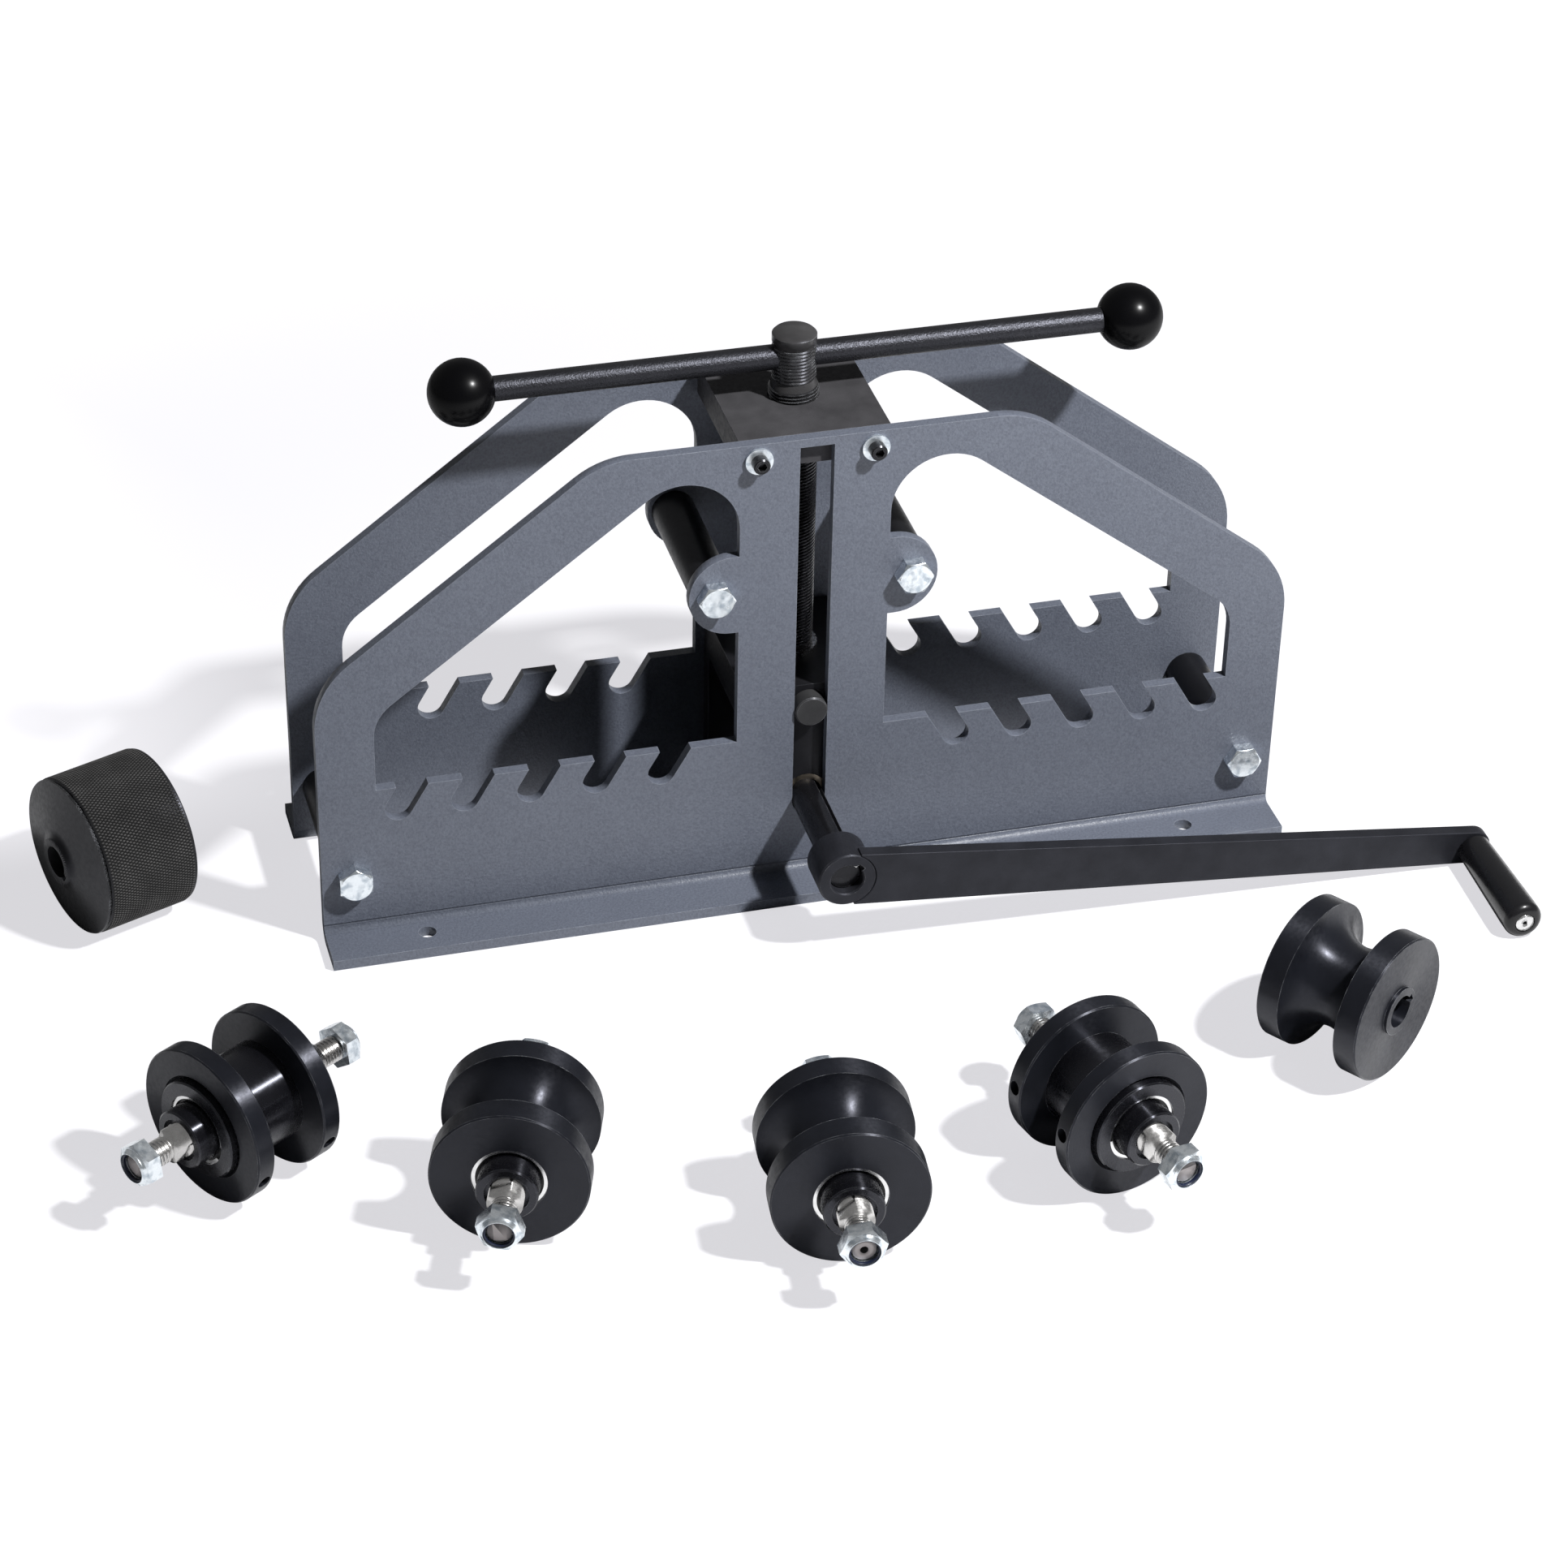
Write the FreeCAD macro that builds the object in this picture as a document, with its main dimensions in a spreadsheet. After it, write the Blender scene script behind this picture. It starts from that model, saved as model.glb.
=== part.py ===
"""Ring roller: bench frame with notched side plates, screw-fed yoke, crank drive and loose rolls.

Frame: +Z up from the bench face, X along the side plates, -Y towards the crank.
The origin is the centre of the four bench holes.  All sizes are in millimetres.
"""
import FreeCAD, Part
import math
import os

import Sketcher
from FreeCAD import Placement, Rotation, Vector

SIZES = {
    # side plates
    "plate_length": 571.5,
    "plate_height": 293.5,
    "plate_thickness": 6.5,
    "plate_gap": 91.1,
    "flange_width": 29.05,
    "bend_radius": 4.2,
    "bend_line": 12.0,
    "shoulder_height": 168.8,
    "crest_half": 122.0,
    "outline_radius": 52.0,
    # windows either side of the centre web
    "web_half": 43.6,
    "window_end": 252.7,
    "window_top": 306.4,
    "window_shoulder": 147.0,
    "window_top_radius": 32.5,
    "window_end_radius": 26.0,
    "rail_top": 99.4,
    "ear_height": 198.4,
    "ear_half_height": 24.8,
    "ear_radius": 24.6,
    "ear_reach": 72.4,
    # notches in the rail
    "notch_first": 79.6,
    "notch_pitch": 38.1,
    "notch_count": 5,
    "notch_width": 15.8,
    "notch_floor": 77.4,
    "notch_tilt": 30.0,
    # centre slot and holes
    "slot_width": 19.6,
    "slot_top": 288.3,
    "bench_hole_x": 228.6,
    "bench_hole_y": 65.4,
    "bench_hole_diameter": 10.3,
    "upper_bolt_x": 57.5,
    "upper_bolt_z": 199.0,
    "lower_bolt_x": 267.0,
    "lower_bolt_z": 40.4,
    # spacer tubes and their bolts
    "spacer_diameter": 25.4,
    "spacer_bore": 13.1,
    "bolt_diameter": 12.7,
    "bolt_hole": 12.9,
    "hex_across_flats": 19.05,
    "bolt_head_height": 7.9,
    "nut_height": 11.1,
    "bolt_tail": 3.0,
    # nut block and its cap screws
    "block_height": 19.0,
    "block_screw_x": 33.4,
    "block_screw_z": 283.5,
    "cap_screw_diameter": 6.35,
    "cap_screw_hole": 6.6,
    "cap_head_diameter": 9.53,
    "cap_head_height": 6.35,
    "cap_socket_flats": 4.76,
    "cap_screw_reach": 19.05,
    "washer_diameter": 15.9,
    "washer_bore": 7.1,
    "washer_thickness": 1.65,
    # feed screw
    "screw_diameter": 28.6,
    "screw_bore": 28.78,
    "screw_head_diameter": 25.4,
    "screw_head_base": 303.0,
    "screw_top": 332.7,
    "screw_head_chamfer": 1.3,
    "screw_relief": 1.5,
    "bar_height": 317.7,
    "spigot_diameter": 19.0,
    "spigot_bore": 19.18,
    "spigot_end": 103.6,
    "ring_groove_base": 105.7,
    "ring_groove_diameter": 16.0,
    "ring_thickness": 1.4,
    "ring_diameter": 26.0,
    "thrust_washer_diameter": 34.0,
    "thrust_washer_thickness": 3.0,
    # tommy bar
    "bar_diameter": 14.29,
    "bar_bore": 14.45,
    "bar_left_end": 188.1,
    "bar_right_end": 196.6,
    "ball_diameter": 38.0,
    # yoke
    "yoke_width": 76.2,
    "yoke_depth": 90.1,
    "yoke_top": 127.8,
    "yoke_bottom": 26.2,
    "crossbar_height": 25.4,
    "leg_thickness": 10.5,
    "yoke_corner": 4.0,
    "counterbore_diameter": 30.0,
    "counterbore_depth": 5.0,
    "stud_diameter": 19.0,
    "stud_height": 114.7,
    "stud_inner_end": 16.0,
    "stud_outer_end": 54.5,
    # drive shaft, bushes and retaining rings
    "shaft_diameter": 19.05,
    "shaft_height": 53.0,
    "shaft_front": 129.7,
    "shaft_rear": 54.5,
    "shaft_bore": 19.15,
    "key_width": 4.76,
    "keyway_depth": 2.4,
    "keyway_angle": 45.0,
    "bush_diameter": 25.4,
    "shaft_ring_near": 33.4,
    "shaft_ring_thickness": 1.0,
    "shaft_ring_diameter": 26.5,
    "shaft_ring_groove_diameter": 17.4,
    "hub_bore": 19.09,
    "set_screw_diameter": 7.9,
    "set_screw_hole": 8.0,
    "set_screw_length": 7.0,
    "set_screw_socket": 3.97,
    # crank
    "hub_diameter": 34.0,
    "hub_front": 135.7,
    "hub_rear": 110.5,
    "hub_key_length": 18.0,
    "hub_screw_y": 118.5,
    "arm_thickness": 8.0,
    "arm_root": 6.0,
    "arm_length": 387.0,
    "arm_tip_half": 10.5,
    "arm_tip_radius": 10.3,
    "arm_angle": 6.11,
    "grip_length": 77.0,
    "grip_root_diameter": 19.5,
    "grip_end_diameter": 23.0,
    "grip_end_round": 6.0,
    "grip_bore": 9.66,
    "spindle_diameter": 9.5,
    "spindle_head_diameter": 11.0,
    "spindle_head_height": 1.5,
    "spindle_recess_diameter": 12.0,
    # drive rolls
    "knurled_diameter": 93.6,
    "knurled_half_width": 29.0,
    "knurled_step": 1.6,
    "knurled_cone": 6.2,
    "drive_roll_bore": 19.1,
    "drive_roll_boss_diameter": 28.2,
    "drive_roll_boss": 2.0,
    "drive_roll_half_width": 32.3,
    # grooved rolls
    "grooved_diameter": 85.0,
    "roll_half_width": 32.5,
    "groove_radius": 18.3,
    "edge_chamfer": 0.8,
    # flat idlers
    "sleeve_diameter": 56.0,
    "disc_diameter": 89.8,
    "disc_face": 28.6,
    "disc_thickness": 11.5,
    "disc_bore_chamfer": 2.0,
    # idler bearings and axles
    "bearing_diameter": 40.0,
    "bearing_bore": 19.05,
    "bearing_width": 12.0,
    "bearing_inner_face": 18.0,
    "bearing_shoulder_diameter": 32.0,
    "axle_shoulder_diameter": 24.0,
    "inner_ring_diameter": 25.2,
    "outer_ring_bore": 34.0,
    "seal_bore": 25.4,
    "seal_thickness": 0.9,
    "seal_recess": 0.3,
    "snap_ring_bore": 36.0,
    "snap_ring_diameter": 42.2,
    "snap_ring_thickness": 1.5,
    "fit_gap": 0.04,
    "end_gap": 0.1,
    "axle_seat_end": 51.5,
    "axle_flat_start": 44.2,
    "axle_across_flats": 15.5,
    "axle_thread_diameter": 14.29,
    "axle_half_length": 73.2,
    "axle_collar_diameter": 33.0,
    "axle_collar_end": 44.0,
    "axle_collar_recess": 3.0,
    "axle_collar_recess_diameter": 24.0,
    "lock_nut_start": 65.2,
    "lock_nut_across_flats": 22.23,
    "lock_nut_hex_height": 8.8,
    "lock_nut_height": 11.2,
    "lock_nut_crown_diameter": 19.2,
    "lock_nut_insert_diameter": 16.8,
}

# Where each loose roll stands on the bench: x, y, heading of its near end, turn about its own axis.
STANDS = {
    "knurled_drive_roll": (-395.7, 9.0, -158.5, 55.0),
    "left_flat_idler": (-362.0, -243.2, -147.8, 68.0),
    "left_grooved_idler": (-228.0, -306.6, -109.2, 20.0),
    "right_grooved_idler": (-66.9, -360.9, -96.6, 40.0),
    "right_flat_idler": (84.6, -345.4, -74.7, 263.0),
    "grooved_drive_roll": (245.5, -283.7, -54.6, 111.0),
}

# How far each spacer bolt's head is turned from having two corners level.
BOLT_TURNS = (0.0, 0.0, 0.0, 30.0)

# Rotations that turn a piece made along its own +Z to another direction.
TOWARDS_FRONT = Rotation(Vector(1, 0, 0), 90)
TOWARDS_REAR = Rotation(Vector(1, 0, 0), -90)
TOWARDS_RIGHT = Rotation(Vector(0, 1, 0), 90)
TOWARDS_LEFT = Rotation(Vector(0, 1, 0), -90)

# Share of a slot's width used as its end radius, so the two end arcs stay apart.
NEARLY_HALF = 0.49


def spun(angle):
    """Towards the front, turned about that direction from +X upwards."""
    return TOWARDS_FRONT * Rotation(Vector(0, 0, 1), angle)


class Dim:
    """A size that knows both its value and the spreadsheet expression it comes from."""

    def __init__(self, value, text):
        self.value = value
        self.text = text

    def __add__(self, other):
        other = dim(other)
        return Dim(self.value + other.value, f"({self.text} + {other.text})")

    def __sub__(self, other):
        other = dim(other)
        return Dim(self.value - other.value, f"({self.text} - {other.text})")

    def __mul__(self, other):
        other = dim(other)
        return Dim(self.value * other.value, f"({self.text} * {other.text})")

    def __truediv__(self, other):
        other = dim(other)
        return Dim(self.value / other.value, f"({self.text} / {other.text})")

    def __neg__(self):
        return Dim(-self.value, f"(0 - {self.text})")

    def __radd__(self, other):
        return dim(other) + self

    def __rsub__(self, other):
        return dim(other) - self

    def __rmul__(self, other):
        return dim(other) * self


def dim(value):
    """Any number as a Dim."""
    if isinstance(value, Dim):
        return value
    return Dim(float(value), f"({float(value)})")


def sine(angle):
    """Sine of an angle in degrees."""
    return Dim(math.sin(math.radians(angle.value)), f"sin({angle.text})")


def cosine(angle):
    """Cosine of an angle in degrees."""
    return Dim(math.cos(math.radians(angle.value)), f"cos({angle.text})")


class Sheet:
    """The spreadsheet of driving sizes, read as attributes."""

    def __init__(self, document, sizes):
        cells = document.addObject("Spreadsheet::Sheet", "Sizes")
        for row, (name, value) in enumerate(sizes.items(), start=1):
            cells.set(f"A{row}", name)
            cells.set(f"B{row}", str(value))
            cells.setAlias(f"B{row}", name)
            setattr(self, name, Dim(float(value), f"Sizes.{name}"))


doc = FreeCAD.newDocument("ring_roller")
S = Sheet(doc, SIZES)
doc.recompute()
nodes = []


# ---------------------------------------------------------------- sketches and features


def bind(item, prop, size):
    """Keep a property equal to a size from the spreadsheet."""
    item.setExpression(prop, dim(size).text)


def new_body(name):
    return doc.addObject("PartDesign::Body", name)


def plane(body, role):
    """One of the body's own origin planes or axes."""
    return next(item for item in body.Origin.OriginFeatures if item.Role == role)


def new_sketch(body, role, offset=None):
    """Sketch on an origin plane of the body, moved along the plane's normal."""
    sketch = body.newObject("Sketcher::SketchObject", body.Name + "_sketch")
    sketch.AttachmentSupport = (plane(body, role), [""])
    sketch.MapMode = "FlatFace"
    if offset is not None:
        bind(sketch, "AttachmentOffset.Base.z", offset)
    return sketch


def constrain(sketch, rules, sizes):
    """Add plain constraints, then dimensions bound to the spreadsheet."""
    if rules:
        sketch.addConstraint(rules)
    for kind, geometry, point, size in sizes:
        size = dim(size)
        if point is None:
            rule = Sketcher.Constraint(kind, geometry, size.value)
        else:
            rule = Sketcher.Constraint(kind, geometry, point, size.value)
        index = sketch.addConstraint(rule)
        sketch.setExpression(f"Constraints[{index}]", size.text)


def place_point(geometry, point, x, y):
    """Dimensions that hold a sketch point at x, y."""
    return [("DistanceX", geometry, point, x), ("DistanceY", geometry, point, y)]


def circle(sketch, x, y, radius):
    """Circle held by its centre and radius."""
    centre = Vector(dim(x).value, dim(y).value, 0)
    index = sketch.addGeometry(Part.Circle(centre, Vector(0, 0, 1), dim(radius).value))
    constrain(sketch, [], place_point(index, 3, x, y) + [("Radius", index, None, radius)])


def outline(sketch, corners):
    """Closed outline through (x, y) corners; a third entry is that corner's radius."""
    count = len(corners)
    points = [Vector(dim(c[0]).value, dim(c[1]).value, 0) for c in corners]
    radii = [dim(c[2]).value if len(c) > 2 else 0.0 for c in corners]
    towards = [(points[(i + 1) % count] - points[i]).normalize() for i in range(count)]
    trims = []
    for i in range(count):
        half_angle = (-towards[i - 1]).getAngle(towards[i]) / 2
        trims.append(radii[i] / math.tan(half_angle))

    lines = []
    for i in range(count):
        start = points[i] + towards[i] * trims[i]
        end = points[(i + 1) % count] - towards[i] * trims[(i + 1) % count]
        lines.append(sketch.addGeometry(Part.LineSegment(start, end)))

    rules = []
    sizes = []
    for i, corner in enumerate(corners):
        arriving = lines[i - 1]
        leaving = lines[i]
        if radii[i] == 0.0:
            rules.append(Sketcher.Constraint("Coincident", arriving, 2, leaving, 1))
            sizes += place_point(leaving, 1, corner[0], corner[1])
            continue
        first = points[i] - towards[i - 1] * trims[i]
        last = points[i] + towards[i] * trims[i]
        inward = (towards[i] - towards[i - 1]).normalize()
        reach = math.hypot(radii[i], trims[i])
        centre = points[i] + inward * reach
        turns_left = towards[i - 1].cross(towards[i]).z > 0
        begin, finish = (first, last) if turns_left else (last, first)
        from_angle = math.atan2(begin.y - centre.y, begin.x - centre.x)
        to_angle = math.atan2(finish.y - centre.y, finish.x - centre.x)
        if to_angle < from_angle:
            to_angle += 2 * math.pi
        ring = Part.Circle(centre, Vector(0, 0, 1), radii[i])
        arc = sketch.addGeometry(Part.ArcOfCircle(ring, from_angle, to_angle))
        arc_first, arc_last = (1, 2) if turns_left else (2, 1)
        peak = sketch.addGeometry(Part.Point(points[i]), True)
        rules += [
            Sketcher.Constraint("Tangent", arriving, 2, arc, arc_first),
            Sketcher.Constraint("Tangent", arc, arc_last, leaving, 1),
            Sketcher.Constraint("PointOnObject", peak, 1, arriving),
            Sketcher.Constraint("PointOnObject", peak, 1, leaving),
        ]
        sizes.append(("Radius", arc, None, corner[2]))
        sizes += place_point(peak, 1, corner[0], corner[1])
    constrain(sketch, rules, sizes)


def rectangle(sketch, left, right, low, high):
    outline(sketch, [(left, low), (right, low), (right, high), (left, high)])


def hexagon(sketch, across_flats):
    """Regular hexagon about the sketch origin, with corners on the X axis."""
    corner = across_flats / math.sqrt(3)
    half = across_flats / 2
    outline(sketch, [(corner, 0), (corner / 2, half), (-corner / 2, half),
                     (-corner, 0), (-corner / 2, -half), (corner / 2, -half)])


def feature(body, kind, sketch):
    item = body.newObject("PartDesign::" + kind, body.Name + "_" + kind.lower())
    item.Profile = sketch
    body.Tip = item
    return item


def pad(body, sketch, length, symmetric=False, reverse=False):
    item = feature(body, "Pad", sketch)
    bind(item, "Length", length)
    item.SideType = "Symmetric" if symmetric else "One side"
    item.Reversed = reverse
    return item


def pocket(body, sketch, length=None, symmetric=False, reverse=False):
    """Cut along the sketch's normal; without a length the cut goes right through."""
    item = feature(body, "Pocket", sketch)
    if length is None:
        item.Type = "ThroughAll"
    else:
        bind(item, "Length", length)
    item.SideType = "Symmetric" if symmetric else "One side"
    item.Reversed = reverse
    return item


def revolve(body, sketch, kind="Revolution"):
    """Turn a sketch about the body's Z axis, adding or cutting."""
    item = feature(body, kind, sketch)
    item.ReferenceAxis = (sketch, ["V_Axis"])
    item.Angle = 360
    return item


def turned(name, profile):
    """Body of revolution about its own Z axis from (radius, height) corners."""
    body = new_body(name)
    sketch = new_sketch(body, "XZ_Plane")
    outline(sketch, profile)
    revolve(body, sketch)
    return body


def place(item, x=0, y=0, z=0, rotation=Rotation()):
    """Put an object at x, y, z with a rotation, and keep the place bound to the sheet."""
    item.Placement = Placement(Vector(dim(x).value, dim(y).value, dim(z).value), rotation)
    bind(item, "Placement.Base.x", x)
    bind(item, "Placement.Base.y", y)
    bind(item, "Placement.Base.z", z)
    return item


def node(item):
    """Mark an object as a finished sub-part."""
    nodes.append(item)
    return item


def group(name, items):
    """Several separate solids that share one node."""
    item = doc.addObject("Part::Compound", name)
    item.Links = items
    return item


def both_ends(name, near):
    """A piece at the near end and its mirror image at the far end, about Z = 0."""
    far = doc.addObject("Part::Mirroring", name + "_far")
    far.Source = near
    far.Normal = Vector(0, 0, 1)
    return group(name, [near, far])


def ring(name, bore, diameter, low, high):
    """Plain ring about Z."""
    return turned(name, [(bore / 2, low), (diameter / 2, low), (diameter / 2, high), (bore / 2, high)])


def set_screw(name):
    """Socket set screw along Z, its socket end at Z = 0 and its point below."""
    radius = S.set_screw_diameter / 2
    point = radius / 2
    body = turned(name, [(0, 0), (radius, 0), (radius, point - S.set_screw_length),
                         (point, -S.set_screw_length), (0, -S.set_screw_length)])
    socket = new_sketch(body, "XY_Plane")
    hexagon(socket, S.set_screw_socket)
    pocket(body, socket, S.set_screw_length / 2)
    return body


# ---------------------------------------------------------------- frame


PLATE_OUTER = S.plate_gap / 2 + S.plate_thickness


def side_plate(name, rotation):
    """Notched plate bent outward into a foot flange, made as the rear one and turned for the front."""
    body = new_body(name)
    half = S.plate_length / 2
    inner = S.plate_gap / 2

    web = new_sketch(body, "XZ_Plane", -inner)
    outline(web, [
        (-half, S.bend_line), (half, S.bend_line),
        (half, S.shoulder_height, S.outline_radius), (S.crest_half, S.plate_height, S.outline_radius),
        (-S.crest_half, S.plate_height, S.outline_radius),
        (-half, S.shoulder_height, S.outline_radius),
    ])
    pad(body, web, S.plate_thickness, reverse=True)

    foot = new_sketch(body, "YZ_Plane")
    toe = PLATE_OUTER + S.flange_width
    outline(foot, [
        (inner, S.bend_line), (inner, 0, S.bend_radius + S.plate_thickness), (toe, 0),
        (toe, S.plate_thickness), (PLATE_OUTER, S.plate_thickness, S.bend_radius),
        (PLATE_OUTER, S.bend_line),
    ])
    pad(body, foot, S.plate_length, symmetric=True)

    for side in (1, -1):
        cut_window(body, side)
        cut_notches(body, side)

    slot = new_sketch(body, "XZ_Plane")
    slot_half = S.slot_width / 2
    slot_round = S.slot_width * NEARLY_HALF
    slot_floor = S.shaft_height - slot_half
    outline(slot, [
        (-slot_half, slot_floor, slot_round), (slot_half, slot_floor, slot_round),
        (slot_half, S.slot_top), (-slot_half, S.slot_top),
    ])
    pocket(body, slot)

    holes = new_sketch(body, "XZ_Plane")
    for side in (1, -1):
        circle(holes, side * S.upper_bolt_x, S.upper_bolt_z, S.bolt_hole / 2)
        circle(holes, side * S.lower_bolt_x, S.lower_bolt_z, S.bolt_hole / 2)
        circle(holes, side * S.block_screw_x, S.block_screw_z, S.cap_screw_hole / 2)
    pocket(body, holes)

    bench = new_sketch(body, "XY_Plane")
    for side in (1, -1):
        circle(bench, side * S.bench_hole_x, S.bench_hole_y, S.bench_hole_diameter / 2)
    pocket(body, bench, reverse=True)

    body.Placement = Placement(Vector(), rotation)
    return node(body)


def cut_window(body, side):
    """Open window between the centre web with its bolt ear, the sloping edge and the rail."""
    window = new_sketch(body, "XZ_Plane")
    web = side * S.web_half
    end = side * S.window_end
    ear = side * S.ear_reach
    outline(window, [
        (web, S.rail_top), (web, S.ear_height - S.ear_half_height),
        (ear, S.ear_height - S.ear_half_height, S.ear_radius),
        (ear, S.ear_height + S.ear_half_height, S.ear_radius),
        (web, S.ear_height + S.ear_half_height),
        (web, S.window_top, S.window_top_radius),
        (end, S.window_shoulder, S.window_end_radius), (end, S.rail_top),
    ])
    pocket(body, window)


def cut_notches(body, side):
    """Row of round-bottomed notches in the rail, leaning outward as they go down."""
    half = S.notch_width / 2
    lean = sine(S.notch_tilt)
    rise = cosine(S.notch_tilt)
    centre_z = S.notch_floor + half
    centre_x = S.notch_first + (S.rail_top - centre_z) * lean / rise
    above = S.rail_top - centre_z + S.notch_width
    notch = new_sketch(body, "XZ_Plane")
    corners = []
    for across, along in ((half, above), (-half, above), (-half, -half), (half, -half)):
        x = centre_x + across * rise - along * lean
        z = centre_z + across * lean + along * rise
        corners.append((side * x, z))
    end_round = S.notch_width * NEARLY_HALF
    corners[2] += (end_round,)
    corners[3] += (end_round,)
    outline(notch, corners)
    cut = pocket(body, notch)

    row = body.newObject("PartDesign::LinearPattern", body.Name + "_row")
    row.Originals = [cut]
    row.Direction = (plane(body, "X_Axis"), [""])
    row.Reversed = side < 0
    bind(row, "Length", S.notch_pitch * (S.notch_count - 1))
    bind(row, "Occurrences", S.notch_count)
    body.Tip = row


def bolt_places():
    """Where the four spacer bolts cross the plates."""
    return [(side * x, z) for x, z in ((S.upper_bolt_x, S.upper_bolt_z), (S.lower_bolt_x, S.lower_bolt_z))
            for side in (1, -1)]


def plate_spacers():
    """Tubes that hold the side plates apart, two high and two low."""
    half = (S.plate_gap - S.end_gap) / 2
    tubes = []
    for x, z in bolt_places():
        tube = ring(f"plate_spacer_{len(tubes) + 1}", S.spacer_bore, S.spacer_diameter, -half, half)
        tubes.append(place(tube, x, 0, z, TOWARDS_FRONT))
    return node(group("plate_spacers", tubes))


def hex_blank(name, across_flats, low, height):
    """Hexagonal body with its upper corners chamfered, as nuts and bolt heads have."""
    body = new_body(name)
    flats = new_sketch(body, "XY_Plane", low)
    hexagon(flats, across_flats)
    pad(body, flats, height)
    bevel = new_sketch(body, "XZ_Plane")
    corner = across_flats / math.sqrt(3)
    inner = across_flats * 0.475
    top = low + height
    outline(bevel, [(inner, top), (corner + 1, top), (corner + 1, top - (corner + 1 - inner) * 0.577)])
    revolve(body, bevel, "Groove")
    return body


def spacer_bolts():
    """Hex bolts through both plates and the spacers, heads at the front as they were tightened."""
    length = PLATE_OUTER * 2 + S.nut_height + S.bolt_tail
    bolts = []
    for (x, z), turn in zip(bolt_places(), BOLT_TURNS):
        bolt = hex_blank(f"spacer_bolt_{len(bolts) + 1}", S.hex_across_flats, 0, S.bolt_head_height)
        shank = new_sketch(bolt, "XY_Plane")
        circle(shank, 0, 0, S.bolt_diameter / 2)
        pad(bolt, shank, length, reverse=True)
        bolts.append(place(bolt, x, -PLATE_OUTER, z, spun(turn)))
    return node(group("spacer_bolts", bolts))


def spacer_nuts():
    """Plain hex nuts that close the spacer bolts at the rear."""
    nuts = []
    for x, z in bolt_places():
        nut = hex_blank(f"spacer_nut_{len(nuts) + 1}", S.hex_across_flats, 0, S.nut_height)
        bore = new_sketch(nut, "XY_Plane")
        circle(bore, 0, 0, S.bolt_diameter / 2 + S.fit_gap)
        pocket(nut, bore, reverse=True)
        nuts.append(place(nut, x, PLATE_OUTER, z, TOWARDS_REAR))
    return node(group("spacer_nuts", nuts))


def screw_nut_block():
    """Block between the plates that carries the thread for the feed screw."""
    body = new_body("screw_nut_block")
    face = new_sketch(body, "XZ_Plane")
    rectangle(face, -S.web_half, S.web_half, S.plate_height - S.block_height, S.plate_height)
    pad(body, face, S.plate_gap - S.end_gap, symmetric=True)
    bore = new_sketch(body, "XY_Plane")
    circle(bore, 0, 0, S.screw_bore / 2)
    pocket(body, bore, reverse=True)
    for facing in (1, -1):
        taps = new_sketch(body, "XZ_Plane", facing * S.plate_gap / 2)
        for side in (1, -1):
            circle(taps, side * S.block_screw_x, S.block_screw_z, S.cap_screw_diameter / 2 + S.fit_gap)
        pocket(body, taps, S.cap_screw_reach, reverse=facing < 0)
    return node(body)


def block_screws():
    """Socket head cap screws and washers that hold the block to both plates."""
    screws = []
    washers = []
    seat = PLATE_OUTER + S.washer_thickness + S.fit_gap
    for facing, rotation in ((-1, TOWARDS_FRONT), (1, TOWARDS_REAR)):
        for side in (1, -1):
            number = len(screws) + 1
            washer = ring(f"block_washer_{number}", S.washer_bore, S.washer_diameter,
                          S.fit_gap / 2, S.washer_thickness)
            washers.append(place(washer, side * S.block_screw_x, facing * PLATE_OUTER,
                                 S.block_screw_z, rotation))
            shank = S.cap_screw_diameter / 2
            head = S.cap_head_diameter / 2
            rim = S.edge_chamfer
            screw = turned(f"block_cap_screw_{number}", [
                (0, -S.cap_screw_reach), (shank, -S.cap_screw_reach), (shank, 0), (head, 0),
                (head, S.cap_head_height - rim), (head - rim, S.cap_head_height), (0, S.cap_head_height),
            ])
            socket = new_sketch(screw, "XY_Plane", S.cap_head_height)
            hexagon(socket, S.cap_socket_flats)
            pocket(screw, socket, S.cap_head_height / 2)
            screws.append(place(screw, side * S.block_screw_x, facing * seat, S.block_screw_z, rotation))
    node(group("block_washers", washers))
    node(group("block_cap_screws", screws))


# ---------------------------------------------------------------- yoke and feed screw


LEG_INNER = S.yoke_depth / 2 - S.leg_thickness


def slide_yoke():
    """Inverted U that slides between the plates and carries the drive shaft in its two legs."""
    body = new_body("slide_yoke")
    depth = S.yoke_depth / 2
    underside = S.yoke_top - S.crossbar_height
    section = new_sketch(body, "YZ_Plane")
    outline(section, [
        (-depth, S.yoke_bottom), (-LEG_INNER, S.yoke_bottom), (-LEG_INNER, underside, S.yoke_corner),
        (LEG_INNER, underside, S.yoke_corner), (LEG_INNER, S.yoke_bottom), (depth, S.yoke_bottom),
        (depth, S.yoke_top), (-depth, S.yoke_top),
    ])
    pad(body, section, S.yoke_width, symmetric=True)

    shaft_holes = new_sketch(body, "XZ_Plane")
    circle(shaft_holes, 0, S.shaft_height, S.bush_diameter / 2 + S.fit_gap)
    pocket(body, shaft_holes, S.yoke_depth, symmetric=True)

    for facing in (1, -1):
        stud_hole = new_sketch(body, "XZ_Plane", facing * depth)
        circle(stud_hole, 0, S.stud_height, S.stud_diameter / 2 + S.fit_gap)
        pocket(body, stud_hole, depth - S.stud_inner_end + S.end_gap, reverse=facing < 0)

    spigot = new_sketch(body, "XY_Plane")
    circle(spigot, 0, 0, S.spigot_bore / 2)
    pocket(body, spigot, reverse=True)
    recess = new_sketch(body, "XY_Plane")
    circle(recess, 0, 0, S.counterbore_diameter / 2)
    pocket(body, recess, underside + S.counterbore_depth, reverse=True)
    return node(body)


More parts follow.
